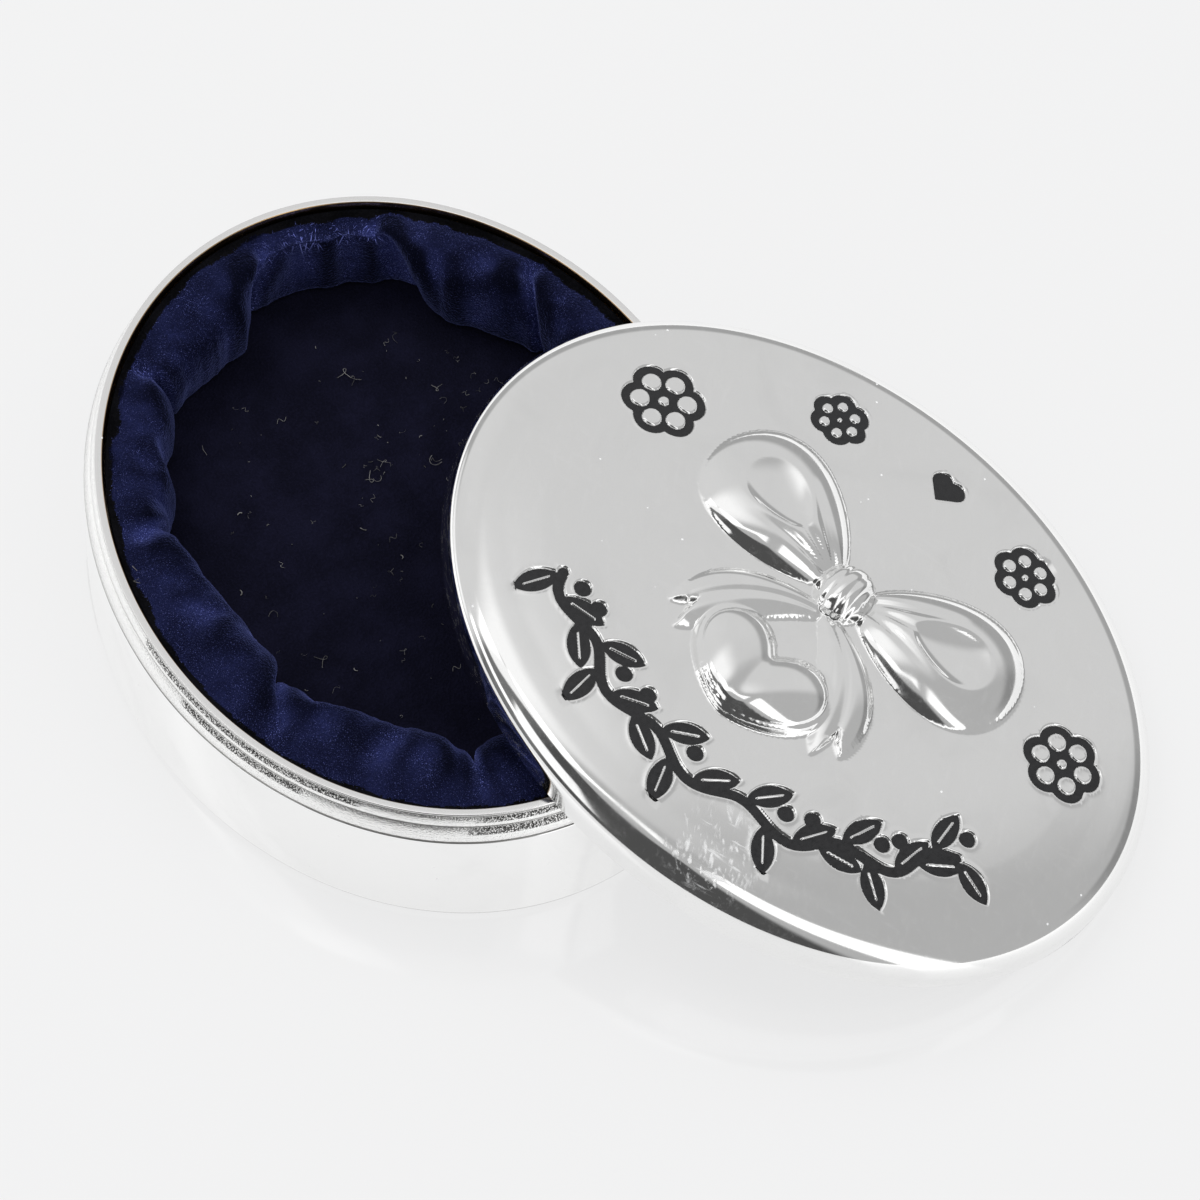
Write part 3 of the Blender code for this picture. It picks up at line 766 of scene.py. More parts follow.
def gathered(radius, bearing, height):
    """Move the front rows of the band, which its profile only numbers, to their place: up from the
    cut edge to the crest of each puff, then down its fall to the floor."""
    front = radius < 0
    step = np.where(front, height, 0.0)
    share = np.clip((step - CREST_ROWS) / (CLOTH_ROWS - 1 - CREST_ROWS), 0, 1)
    full = puff_fullness(bearing, share)
    ratio = np.clip(full / usual_depth(bearing), 0, 1)
    pleats = PLEAT * swell(bearing * UNWRAPPED + 50, share * 5, PLEAT_SIZE, 5.0) * ratio
    climb = np.clip(step / CREST_ROWS, 0, 1)
    crest = full * CREST_SHARE
    fall = share * math.pi / 2
    rise = CREST_RISE * np.sin(climb * math.pi / 2) * (SHALLOW_CREST + (1 - SHALLOW_CREST) * ratio)
    drawn_in = 1 - FOOT_DRAWN_IN * share ** 6
    puff_in = CREST_REACH + crest + (full - crest) * np.sin(fall) ** FALL_ROUND[0] * drawn_in
    tall = lining_top + CREST_RISE - lining_foot
    inward = np.where(step < CREST_ROWS, (CREST_REACH + crest) * climb, puff_in) + pleats * climb
    down = np.where(step < CREST_ROWS, 0, tall * (1 - np.cos(fall) ** FALL_ROUND[1])) - rise
    dip = TUCK_DIP * (1 - ratio) * np.sin(math.pi * np.minimum(climb * 0.5 + share, 1.0))
    down = np.minimum(down + dip - PLEAT_LIFT * pleats * (1 - share) * climb, lining_top - lining_foot)
    edge = lip_edge(bearing)
    radius = np.where(radius == 0, edge + LIP_FOLD, radius)
    return np.where(front, edge - inward, radius), bearing, np.where(front, lining_top - down, height)


hem = lining_foot + FOOT_RISE
back_top = card_top + CARD_GAP
puff_profile = [(-1, row) for row in range(CLOTH_ROWS)]
puff_profile += [(floor_edge - FOOT_TUCK, lining_foot), (floor_edge, hem)]
puff_profile += [(floor_edge, hem + (back_top - lining_foot - FOOT_RISE) * share)
                 for share in (0.25, 0.5, 0.75, 1)]
puff_profile += [(lip_out, back_top), (lip_out, rim - LIP_TOP - LIP_FOLD),
                 (lip_out - LIP_FOLD, rim - LIP_TOP), (0, lining_top + LIP_BACK)]
band = turned("gathered_band", puff_profile, CLOTH_STEPS, closed=True, shape=gathered)


def corners_of(piece):
    """The corners of a piece, in metres."""
    return np.array([vertex.co for vertex in piece.data.vertices])


def modified(piece):
    """A new mesh of a piece as its modifiers leave it."""
    return bpy.data.meshes.new_from_object(piece.evaluated_get(bpy.context.evaluated_depsgraph_get()))


def blow_up(piece, held, pressure):
    """Blow a closed mesh up with cloth simulation, at ten times its size; held vertices stay,
    and none moves past the cap."""
    start = corners_of(piece)
    piece.data.transform(Matrix.Scale(SIM_SCALE, 4))
    pins = piece.vertex_groups.new(name="held")
    for index, weight in enumerate(held):
        if weight > 0:
            pins.add([index], float(weight), "REPLACE")
    cloth = piece.modifiers.new("blow_up", "CLOTH")
    cloth.settings.quality = 6
    cloth.settings.mass = 0.25
    cloth.settings.bending_stiffness = 4.0
    cloth.settings.shrink_min = -SLACK
    cloth.settings.use_pressure = True
    cloth.settings.uniform_pressure_force = pressure
    cloth.settings.vertex_group_mass = "held"
    cloth.settings.effector_weights.gravity = 0
    cloth.collision_settings.use_collision = False
    for step in range(1, SIM_FRAMES + 1):
        scene.frame_set(step)
    result = piece.evaluated_get(bpy.context.evaluated_depsgraph_get()).to_mesh()
    moved = np.array([vertex.co for vertex in result.vertices]) / SIM_SCALE - start
    piece.modifiers.clear()
    piece.vertex_groups.clear()
    scene.frame_set(1)
    reach = np.linalg.norm(moved, axis=1, keepdims=True)
    cap = SIM_CAP * MM
    moved *= np.where(reach > cap, cap * (2 - np.exp(1 - reach / cap)) / np.maximum(reach, 1e-9), 1.0)
    moved = moved.reshape(-1, CLOTH_STEPS, 3)
    for _ in range(SOFTEN_PASSES):
        moved = (moved * 2 + np.roll(moved, 1, 0) + np.roll(moved, -1, 0) + np.roll(moved, 1, 1)
                 + np.roll(moved, -1, 1)) / 6
    return start + moved.reshape(-1, 3)


held = np.zeros((len(puff_profile), CLOTH_STEPS))
held[0] = held[CLOTH_ROWS - 1:] = 1.0
bearings = np.arange(CLOTH_STEPS) * 360.0 / CLOTH_STEPS
held[:CREST_ROWS - 2] = 1.0
for row in range(1, CLOTH_ROWS - 1):
    share = max(row - CREST_ROWS, 0) / (CLOTH_ROWS - 1 - CREST_ROWS)
    for puff_ends in PUFFS:
        tuck = puff_ends[0] + (puff_ends[2] - puff_ends[0]) * share
        away = np.abs((bearings - tuck + 180) % 360 - 180)
        held[row, away < TUCK_HELD] = 1.0
points = blow_up(band, held.ravel(), SIM_PRESSURE)
points[:, 2] = np.maximum(points[:, 2], lining_foot * MM)
band.data.vertices.foreach_set("co", points.ravel().astype(np.float32))
band.data.update()
# Painted light and shade: how proud each point stands from its neighbours is stored as fold, which makes the
# velvet and its pile lighter on ridges and darker in folds.
normals = np.array([vertex.normal for vertex in band.data.vertices]).reshape(-1, CLOTH_STEPS, 3)
points = corners_of(band).reshape(-1, CLOTH_STEPS, 3) / MM
proud = np.zeros(points.shape[:2])
for reach in FOLD_REACHES:
    around = (np.roll(points, reach, 1) + np.roll(points, -reach, 1)) / 2
    proud += ((points - around) * normals).sum(2) / reach ** 1.3
    rows_by = np.clip(np.arange(len(points))[:, None] + (-reach // 2, reach // 2), 0, CLOTH_ROWS - 1)
    proud += 0.5 * ((points - points[rows_by].mean(1)) * normals).sum(2) / reach ** 1.3
for _ in range(SOFTEN_PASSES):
    proud[1:-1] = (proud[1:-1] * 2 + proud[:-2] + proud[2:] + np.roll(proud, 1, 1)[1:-1]
                   + np.roll(proud, -1, 1)[1:-1]) / 6
fold = np.clip((proud - PAINTED_SHADE_AT) / (PAINTED_LIGHT_AT - PAINTED_SHADE_AT), 0, 1)
stored = band.data.attributes.new("fold", "FLOAT", "POINT")
stored.data.foreach_set("value", fold.ravel().astype(np.float32))
smooth = band.modifiers.new("finer", "SUBSURF")
smooth.levels = smooth.render_levels = 1
fine_band = modified(band)
band.modifiers.clear()
band.data = fine_band
band.data.shade_smooth()
band.data.materials.clear()
# Painted light: the wall's copy of the velvet gets bluer, lighter colours and more sheen than the floor's.
band.data.materials.append(velvet_finish("navy_velvet_wall_painted_light", (0.0026, 0.003, 0.008), (0.027, 0.034, 0.125),
                                         0.6, (0.19, 0.23, 0.6), fold_light_painted=True))
band.data.materials.append(velvet_finish("black_raw_edge", (0.003, 0.003, 0.0035), (0.008, 0.008, 0.01),
                                         0.05, (0.3, 0.3, 0.4)))
middles = middles_of(band)
middle_bearing = np.arctan2(middles[:, 1] / squeeze(mouth), middles[:, 0])
raw = ring_of(middles[:, 0], middles[:, 1]) > lip_edge(middle_bearing) - RAW_FROM
raw &= middles[:, 2] > lining_foot + RAW_ABOVE
band.data.polygons.foreach_set("material_index", raw.astype(np.int32))
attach(band, "box")
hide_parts("wall_velvet")


# Pile and lint: short fibres stand all over the band, each leaning its own way, and pale loose
# ones have settled on band and floor. Both are scattered over the velvet; the pile is made a
# quarter of the band at a time.
PILE_DENSITY = 6.6e7
PILE_LENGTH = 0.6
PILE_WIDTH = 0.03
PILE_LEAN = 0.7
PILE_SIZES = (0.6, 1.5, 5.0)
PILE_SEED = 4
FLOOR_SHOWN = 0.2
BAND_SHOWN = (0.05, 0.15)
LINT_KINDS = ((((0.3, 0.2), (0.7, 0.1)), 0.3, 1.5), (((0.2, 0.4), (0.9, 0.4)), 0.25, 1.7),
              (((0.5, 0.1), (0.6, 0.1)), 0.18, 1.6), (((0.9, 0.9), (0.1, -0.8)), 0.55, 0.8),
              (((1.6, 0.9), (-0.5, 1.0)), 0.6, 0.8), (((0.1, 1.0), (1.1, 0.9)), 0.5, 0.8),
              (((1.2, 0.7), (0.6, -0.9)), 0.9, 0.6))
LINT_RISE = 0.06
LINT_LENGTH = 1.5
LINT_WIDTH = 0.026
LINT_TILTS = ((0, -0.2, 0), (0.3, 0.2, 2 * math.pi))
LINT_SIZES = (0.35, 1.0, 2.0)
SPECK_WIDTH = 2.6
FLOOR_LINT = (1.6e5, 0.06, 11)
BAND_LINT = (1.1e5, 0.6, 5)


def geometry_tree(name, sizes):
    """A Geometry Nodes tree with named size inputs; gives the tree, its inputs and its outlet."""
    tree = bpy.data.node_groups.new(name, "GeometryNodeTree")
    tree.interface.new_socket(name="Geometry", in_out="INPUT", socket_type="NodeSocketGeometry")
    for label in sizes:
        tree.interface.new_socket(name=label, in_out="INPUT", socket_type="NodeSocketFloat")
    tree.interface.new_socket(name="Seed", in_out="INPUT", socket_type="NodeSocketInt")
    tree.interface.new_socket(name="Finish", in_out="INPUT", socket_type="NodeSocketMaterial")
    tree.interface.new_socket(name="Geometry", in_out="OUTPUT", socket_type="NodeSocketGeometry")
    return tree, tree.nodes.new("NodeGroupInput").outputs, tree.nodes.new("NodeGroupOutput").inputs[0]


def scattered(tree, given):
    """Points spread over the part of a mesh that shows its pile."""
    shown = add_node(tree, "GeometryNodeInputNamedAttribute", {"Name": "pile"}, data_type="FLOAT")
    return add_node(tree, "GeometryNodeDistributePointsOnFaces", {
        "Mesh": given["Geometry"], "Density": times(tree, given["Density"], shown.outputs[0]),
        "Seed": given["Seed"]}).outputs


def drawn(tree, given, kind, low, high, shift):
    """A random value for each point; the shift keeps it apart from the tree's other draws."""
    slot = ("FLOAT_VECTOR", "FLOAT", "INT").index(kind)
    seed = maths(tree, "ADD", given["Seed"], shift)
    return add_node(tree, "FunctionNodeRandomValue", {2 * slot: low, 2 * slot + 1: high, "Seed": seed},
                    data_type=kind).outputs[slot]


def drawn_size(tree, given, sizes, shift):
    """A random size for each point: the least, what is added at most, and how rare that is."""
    least, more, rare = sizes
    roll = drawn(tree, given, "FLOAT", 0.0, 1.0, shift)
    return maths(tree, "ADD", least, times(tree, more, maths(tree, "POWER", roll, rare)))


def turned_by(tree, points, turn):
    """The rotation of points with a turn of their own added."""
    turn = add_node(tree, "FunctionNodeEulerToRotation", {0: turn}).outputs[0]
    return add_node(tree, "FunctionNodeRotateRotation", {0: points["Rotation"], 1: turn},
                    rotation_space="LOCAL").outputs[0]


def put_out(tree, given, outlet, inputs):
    """End a tree with instances on points, made real and given their finish."""
    placed = add_node(tree, "GeometryNodeInstanceOnPoints", inputs)
    real = add_node(tree, "GeometryNodeRealizeInstances", {0: placed.outputs[0]})
    coated = add_node(tree, "GeometryNodeSetMaterial", {"Geometry": real.outputs[0],
                                                        "Material": given["Finish"]})
    tree.links.new(coated.outputs[0], outlet)


def grow(name, base, tree, values):
    """A new plain mesh object from a tree run on a copy of a base object's mesh."""
    seed = bpy.data.objects.new(name, base.data.copy())
    scene.collection.objects.link(seed)
    modifier = seed.modifiers.new(name, "NODES")
    modifier.node_group = tree
    for item in tree.interface.items_tree:
        if item.in_out == "INPUT" and item.name in values:
            modifier[item.identifier] = values[item.name]
    made = modified(seed)
    seed.modifiers.clear()
    seed.data = made
    return seed


def pile_tree():
    """Scatters short three-sided fibres over a mesh, a few of them much longer than the rest."""
    tree, given, outlet = geometry_tree("velvet_pile", ("Density", "Length", "Width", "Lean"))
    points = scattered(tree, given)
    fibre = add_node(tree, "GeometryNodeMeshCone", {
        "Vertices": 3, "Side Segments": 1, "Fill Segments": 1, "Radius Top": 0.0,
        "Radius Bottom": given["Width"], "Depth": given["Length"]}, fill_type="NGON")
    back = times(tree, given["Lean"], -1.0)
    least = add_node(tree, "ShaderNodeCombineXYZ", {0: back, 1: back, 2: 0.0}).outputs[0]
    most = add_node(tree, "ShaderNodeCombineXYZ", {0: given["Lean"], 1: given["Lean"], 2: 6.28}).outputs[0]
    lean = drawn(tree, given, "FLOAT_VECTOR", least, most, 0)
    put_out(tree, given, outlet, {
        "Points": points["Points"], "Instance": fibre.outputs["Mesh"],
        "Rotation": turned_by(tree, points, lean), "Scale": drawn_size(tree, given, PILE_SIZES, 50)})
    return tree


def lint_tree():
    """Scatters loose fibres of several bends, and specks, over a mesh."""
    tree, given, outlet = geometry_tree("lint", ("Density", "Length", "Width", "Lift"))
    points = scattered(tree, given)
    lift = add_node(tree, "ShaderNodeVectorMath", {0: points["Normal"], "Scale": given["Lift"]},
                    operation="SCALE")
    lifted = add_node(tree, "GeometryNodeSetPosition", {"Geometry": points["Points"],
                                                        "Offset": lift.outputs[0]})
    shapes = []
    for handles, long, wide in LINT_KINDS:
        outline = add_node(tree, "GeometryNodeCurvePrimitiveCircle", {
            "Resolution": 3, "Radius": times(tree, given["Width"], wide)}, mode="RADIUS")
        length = times(tree, given["Length"], long)
        ends = [add_node(tree, "ShaderNodeVectorMath", {0: (*spot, LINT_RISE), "Scale": length},
                         operation="SCALE").outputs[0] for spot in ((0, 0), *handles, (1, 0))]
        line = add_node(tree, "GeometryNodeCurvePrimitiveBezierSegment", {
            "Resolution": 9, "Start": ends[0], "Start Handle": ends[1], "End Handle": ends[2],
            "End": ends[3]}, mode="POSITION")
        shapes.append(add_node(tree, "GeometryNodeCurveToMesh", {
            "Curve": line.outputs[0], "Profile Curve": outline.outputs[0], "Fill Caps": True}))
    shapes.append(add_node(tree, "GeometryNodeMeshIcoSphere", {
        "Radius": times(tree, given["Width"], SPECK_WIDTH), "Subdivisions": 1}))
    kinds = add_node(tree, "GeometryNodeJoinGeometry")
    for shape in shapes:
        held = add_node(tree, "GeometryNodeGeometryToInstance", {0: shape.outputs["Mesh"]})
        tree.links.new(held.outputs[0], kinds.inputs[0])
    spin = drawn(tree, given, "FLOAT_VECTOR", *LINT_TILTS, 1)
    put_out(tree, given, outlet, {
        "Points": lifted.outputs[0], "Instance": kinds.outputs[0], "Pick Instance": True,
        "Instance Index": drawn(tree, given, "INT", 0, len(LINT_KINDS), 3),
        "Rotation": turned_by(tree, points, spin), "Scale": drawn_size(tree, given, LINT_SIZES, 2)})
    return tree


def mark_pile(piece, shown):
    """Store where a velvet piece shows its pile, as an attribute that the trees read."""
    mark = piece.data.attributes.new("pile", "FLOAT", "POINT")
    mark.data.foreach_set("value", shown.astype(np.float32))


def fibre_finish(name, dark, light, scale, fold_light_painted=False):
    """Short fibres, from dark to light in patches; where fold light is painted, lighter on ridges and darker
    in folds as painted light and shade.
    """
    made, tree, shader, place = new_finish(name)
    mixed = ramp(tree, cloud(tree, place, scale, 3.0), *BRUSHED)
    if fold_light_painted:
        mixed = painted_fold_light(tree, mixed)
    tree.links.new(mix(tree, mixed, dark, light), shader.inputs["Base Color"])
    shader.inputs["Roughness"].default_value = 0.65
    shader.inputs["Specular IOR Level"].default_value = 0.2
    return made


velvet_pile = pile_tree()
lint = lint_tree()
# The pile's colour gets painted light on the ridges and painted shade in the folds.
pile_finish = fibre_finish("navy_pile", (0.014, 0.017, 0.065), (0.25, 0.30, 0.9), 420.0, fold_light_painted=True)
lint_finish = fibre_finish("pale_lint", (0.08, 0.08, 0.08), (0.4, 0.39, 0.38), 900.0)
place = corners_of(floor_pad) / MM
mark_pile(floor_pad, (ring_of(place[:, 0], place[:, 1]) < FLOOR_FREE) & (place[:, 2] > crown - FLOOR_SHOWN))
place = corners_of(band) / MM
edge = lip_edge(np.arctan2(place[:, 1] / squeeze(mouth), place[:, 0]))
edge -= BAND_SHOWN[0]
lowest = lining_foot + BAND_SHOWN[1]
mark_pile(band, (ring_of(place[:, 0], place[:, 1]) < edge) & (place[:, 2] > lowest))
quarter = np.floor(np.arctan2(place[:, 1], place[:, 0]) / (math.pi / 2)).astype(int) + 2
shown = np.zeros(len(place), np.float32)
band.data.attributes["pile"].data.foreach_get("value", shown)
piles = []
for side in range(4):
    band.data.attributes["pile"].data.foreach_set("value", shown * (quarter == side))
    piles.append(grow(f"band_pile_{side + 1}", band, velvet_pile, {
        "Density": PILE_DENSITY, "Length": PILE_LENGTH * MM, "Width": PILE_WIDTH * MM, "Lean": PILE_LEAN,
        "Seed": PILE_SEED + side, "Finish": pile_finish}))
band.data.attributes["pile"].data.foreach_set("value", shown)
loose = []
for name, base, settled in (("floor_lint", floor_pad, FLOOR_LINT), ("band_lint", band, BAND_LINT)):
    density, lift, seed = settled
    loose.append(grow(name, base, lint, {
        "Density": density, "Length": LINT_LENGTH * MM, "Width": LINT_WIDTH * MM, "Lift": lift * MM,
        "Seed": seed, "Finish": lint_finish}))
for fluff in (*piles, *loose):
    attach(fluff, "box")


# Lid: pressed sheet with a low dome, a rounded shoulder and a short skirt. The bow and heart
# are struck up from the same sheet, and the garland and flowers are cut into it. The dome is
# a grid of heights, finer where the metal is struck or cut; the rest is turned.
LID_TOP_WALL = 0.6
LID_WALL = 0.5
SKIRT_HEIGHT = 1.6
SHOULDER_WIDTH = 3.0
SHOULDER_HEIGHT = 2.4
SHOULDER_END = 79.2
DOME_RISE = 1.1
DOME_FLAT = 0.55
DISC_REACH = 26.1
GRID_CELLS = 114

# The struck forms: length, width and height of each, how far out they lie, and their turns.
MOTIF_SHIFT = 3.6
KNOT = (4.6, 5.4, 2.1)
KNOT_FOLDS = (-0.42, 0.1, 0.5)
KNOT_FOLD_BEND = 0.16
KNOT_CREASE = (0.07, 0.16)
LOOP = (14.0, 10.6, 1.8)
LOOP_RISE = 14.0
LOOP_REACH = 8.2
LOOP_FOLDS = (-0.44, 0.0, 0.44)
LOOP_FOLDS_FROM = 1.15
LOOP_FOLDS_TO = 0.15
LOOP_CREASE = (0.085, 0.34)
EYE = (7.6, 5.0, 0.8)
EYE_REACH = 9.4
EYE_FILLET = 0.1
TAIL = (13.0, 4.4, 1.0)
TAIL_FALL = 50.0
TAIL_REACH = 8.0
TAIL_BEND = 0.04
TAIL_NOTCH = (0.55, 0.9, 5.0)
TAIL_CREASE = (0.16, 0.16)
TAIL_CREASE_SKEW = 0.12
TAIL_CREASE_TO = 0.7
LOBE = (9.6, 6.4, 2.0)
LOBE_FILLET = 0.3
HEART_DROP = 11.0
HEART_SPREAD = 2.0
HEART_SPLAY = 38.0
HEART_LINE = 1.0
HEART_CREASE = (0.11, 0.13)
FLARE = {"loop": 0.3, "tail": 0.35, "lobe": 0.25}
FILLET = 0.11
PLAIN_RIM = 3.0

# The engraving: its depth, the garland with leaves and berries, the flowers and a small heart.
CUT_DEPTH = 0.36
CUT_WALL = 0.09
BURR = (0.035, 0.16, 0.1)
GARLAND_FROM = 224.0
GARLAND_TO = 338.0
GARLAND_RING = 21.6
GARLAND_SWING = 0.85
GARLAND_WAVES = 5
GARLAND_STEPS = 160
STEM_WIDTH = 0.8
LEAF = (3.7, 1.75)
LEAF_LEAN = 42.0
LEAF_STALK = 0.35
VEIN = (0.1, 0.28)
BERRY = 0.64
BERRY_REACH = 1.9
BERRY_LEAN = 75.0
FLOWERS = ((160.0, 21.6, 3.0), (117.0, 22.6, 2.1), (69.0, 23.0, 2.4), (22.0, 22.0, 2.9))
PETALS = 6
PETAL_AT = 0.62
PETAL_SIZE = 0.37
FLOWER_EYE = 0.22
OUTLINE = 0.33
SMALL_HEART = (92.0, 22.4, 2.4)
CUT_SEARCH = (5.0, 1.5)
FAR = 9.0

# Where the grid of the dome is finer, and where the sheet is scratched.
STRUCK_FROM = 0.05
FINE_BY_CUT = 0.7
FINEST_BY_CUT = 0.24
STEEP_FROM = 1.0
SLOPE_STEP = 0.12
LID_SCRATCHES = (286.0, 26.4)
LID_SCRATCH_DENSITY = 0.17

shoulder_top = SKIRT_HEIGHT + SHOULDER_HEIGHT * math.sin(math.radians(SHOULDER_END))
dome_edge = half_length - SHOULDER_WIDTH * (1 - math.cos(math.radians(SHOULDER_END)))


def own_axes(lining, shell):
    """Matrix from the lid's own millimetres to the row frame: X along its oval, Z its axis."""
    points = np.unique(np.round(corners_of(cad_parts[lining]), 6), axis=0) / MM
    middle = points.mean(0)
    directions = np.linalg.eigh(np.cov((points - middle).T))[1]
    axis, length = directions[:, 0], directions[:, 2]
    axis = axis * np.sign(axis[2])
    length = length * np.sign(length[0])
    skin = corners_of(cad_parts[shell]) / MM
    origin = middle + axis * ((skin @ axis).min() - middle @ axis)
    place = Matrix.Identity(4)
    for column, vector in enumerate((length, np.cross(axis, length), axis, origin)):
        for row in range(3):
            place[row][column] = vector[row]
    return place


lid_place = own_axes("lid_velvet", "lid_shell")


def to_lid(piece):
    """Carry a mesh from the lid's own millimetres, held in metres, to its place."""
    place = lid_place.copy()
    place.translation = place.translation * MM
    piece.data.transform(place)
    piece.data.update()


def dome(radius):
    """Height of the plain dome over the foot of the skirt."""
    share = radius / dome_edge
    return shoulder_top + DOME_RISE * (1 - DOME_FLAT * share ** 2 - (1 - DOME_FLAT) * share ** 6)


def meet(first, second, soft=FILLET):
    """The higher of two heights, rounded where they meet."""
    return (first + second + np.sqrt((first - second) ** 2 + soft ** 2)) / 2


def along_and_side(x, y, middle, turn):
    """How far points lie along a form, and to its side, from its middle and its turn."""
    run = (x - middle[0]) * math.cos(turn) + (y - middle[1]) * math.sin(turn)
    side = (y - middle[1]) * math.cos(turn) - (x - middle[0]) * math.sin(turn)
    return run, side


def out_from(start, reach, turn):
    """The point at a reach and a turn from another."""
    return start[0] + reach * math.cos(turn), start[1] + reach * math.sin(turn)


def puff(x, y, middle, turn, size, flare=0.0, bend=0.0):
    """Height of a struck form, below 0 outside its outline, with its place on the form:
    -1 to 1 along it and across it."""
    length, width, height = size
    run, side = along_and_side(x, y, middle, math.radians(turn))
    along = run / (length / 2)
    across = (side + bend * run ** 2) / (width / 2 * (1 + flare * np.clip(along, -1, 1)))
    share = 1 - along ** 2 - across ** 2
    return height * share / np.sqrt(np.abs(share) + 0.05), along, across


def crease(distance, width, depth):
    """A narrow valley of a given depth along the line where a distance is 0."""
    return -depth * np.exp(-(distance / width) ** 2)


def bow_form(x, y, hand, reach, rise, size, flare, bend=0.0):
    """A struck form of the bow, out from its knot to one hand, as puff gives it."""
    angle = math.radians(rise)
    middle = (hand * reach * math.cos(angle), MOTIF_SHIFT + reach * math.sin(angle))
    return puff(x, y, middle, 90 - hand * (90 - rise), size, flare, hand * bend)


def relief(x, y):
    """Height of the bow and heart over the dome."""
    total = np.zeros_like(x)
    loops = np.zeros_like(x)
    for hand in (-1, 1):
        tail, along, across = bow_form(x, y, hand, TAIL_REACH, -TAIL_FALL, TAIL, FLARE["tail"], TAIL_BEND)
        start, wedge, steepness = TAIL_NOTCH
        tail = tail - steepness * np.maximum(0, along - start - wedge * np.abs(across))
        tail = tail + crease(across + TAIL_CREASE_SKEW * along, *TAIL_CREASE) * (along < TAIL_CREASE_TO)
        total = meet(total, tail)
        loop, along, across = bow_form(x, y, hand, LOOP_REACH, LOOP_RISE, LOOP, FLARE["loop"])
        near_knot = np.clip(LOOP_FOLDS_TO - along, 0, 1)
        for fold in LOOP_FOLDS:
            loop = loop + crease(across - fold * (along + LOOP_FOLDS_FROM), *LOOP_CREASE) * near_knot
        eye = bow_form(x, y, hand, EYE_REACH, LOOP_RISE, EYE, FLARE["loop"])[0]
        loop = -meet(-loop, eye - LOOP[2], EYE_FILLET)
        loops = meet(loops, loop)
    total = meet(total, loops)
    knot, along, across = puff(x, y, (0, MOTIF_SHIFT), 0, KNOT)
    for fold in KNOT_FOLDS:
        bent = along - fold - KNOT_FOLD_BEND * across ** 2
        knot = knot + crease(bent, *KNOT_CREASE) * (np.abs(across) < 0.95)
    heart = np.full_like(x, -1.0)
    for hand in (-1, 1):
        middle = (hand * HEART_SPREAD, MOTIF_SHIFT - HEART_DROP)
        lobe = puff(x, y, middle, 90 - hand * HEART_SPLAY, LOBE, FLARE["lobe"])[0]
        heart = meet(heart, lobe, LOBE_FILLET)
    heart = heart + crease(heart - HEART_LINE, *HEART_CREASE)
    total = meet(total, heart)
    total = meet(total, knot) - FILLET / 2 * (total > 0.2)
    return total * np.clip((DISC_REACH - ring_of(x, y)) / PLAIN_RIM, 0, 1)


def oval_point(bearing, radius):
    """A point of the lid's plane on a ring, from its bearing in degrees."""
    turn = math.radians(bearing)
    return radius * math.cos(turn), radius * math.sin(turn) * float(squeeze(radius))


def to_line(x, y, line):
    """Distance from points to a line through a list of points."""
    least = np.full(x.shape, np.inf)
    for (ax, ay), (bx, by) in zip(line, line[1:]):
        px, py, dx, dy = x - ax, y - ay, bx - ax, by - ay
        share = np.clip((px * dx + py * dy) / (dx * dx + dy * dy), 0, 1)
        least = np.minimum(least, np.hypot(px - share * dx, py - share * dy))
    return least


def to_leaf(x, y, middle, turn, length, width):
    """Distance to the edge of an almond leaf with an uncut vein, negative inside."""
    run, side = along_and_side(x, y, middle, turn)
    curve = (length ** 2 / 4 + width ** 2 / 4) / width
    shift = curve - width / 2
    edge = np.maximum(np.hypot(run, side - shift), np.hypot(run, side + shift)) - curve
    vein = VEIN[0] - np.hypot(side, np.maximum(np.abs(run) - length * VEIN[1], 0))
    return np.maximum(edge, vein)


def to_heart(x, y, middle, size):
    """Distance to the edge of a small heart, negative inside."""
    px, py = np.abs(x - middle[0]) / size, (y - middle[1]) / size + 0.5
    upper = np.hypot(px - 0.25, py - 0.75) - math.sqrt(2) / 4
    fall = np.maximum(px + py, 0) / 2
    lower = np.minimum(np.hypot(px, py - 1), np.hypot(px - fall, py - fall)) * np.sign(px - py)
    return np.where(px + py > 1, upper, lower) * size


garland = []
for step in range(GARLAND_STEPS + 1):
    share = step / GARLAND_STEPS
    swing = GARLAND_SWING * math.sin(share * GARLAND_WAVES * 2 * math.pi)
    garland.append(oval_point(GARLAND_FROM + (GARLAND_TO - GARLAND_FROM) * share, GARLAND_RING + swing))


def to_garland(x, y):
    """Distance to the edge of the stem, its leaves and its berries; the middle stays bare."""
    cut = to_line(x, y, garland) - STEM_WIDTH / 2
    leaves = 4 * GARLAND_WAVES
    for leaf in range(leaves + 1):
        if leaf == leaves // 2:
            continue
        at = int(round(leaf / leaves * GARLAND_STEPS))
        before, after = garland[max(at - 1, 0)], garland[min(at + 1, GARLAND_STEPS)]
        turn = math.atan2(after[1] - before[1], after[0] - before[0])
        hand = 1 if leaf % 2 else -1
        lean = turn + hand * math.radians(LEAF_LEAN)
        middle = out_from(garland[at], LEAF[0] / 2 + LEAF_STALK, lean)
        cut = np.minimum(cut, to_leaf(x, y, middle, lean, *LEAF))
        if leaf % 2 == 0:
            berry = out_from(garland[at], BERRY_REACH, turn + math.radians(BERRY_LEAN))
            cut = np.minimum(cut, np.hypot(x - berry[0], y - berry[1]) - BERRY)
    return cut


def to_flower(x, y, middle, turn, size):
    """Distance to the edge of a flower's outlines, which are round its petals and its eye."""
    petals = np.full(x.shape, FAR)
    for petal in range(PETALS):
        at = out_from(middle, PETAL_AT * size, turn + petal * 2 * math.pi / PETALS)
        petals = np.minimum(petals, np.hypot(x - at[0], y - at[1]) - PETAL_SIZE * size)
    eye = np.hypot(x - middle[0], y - middle[1]) - FLOWER_EYE * size
    return np.minimum(np.abs(petals) - OUTLINE, np.abs(eye) - OUTLINE * 0.7)


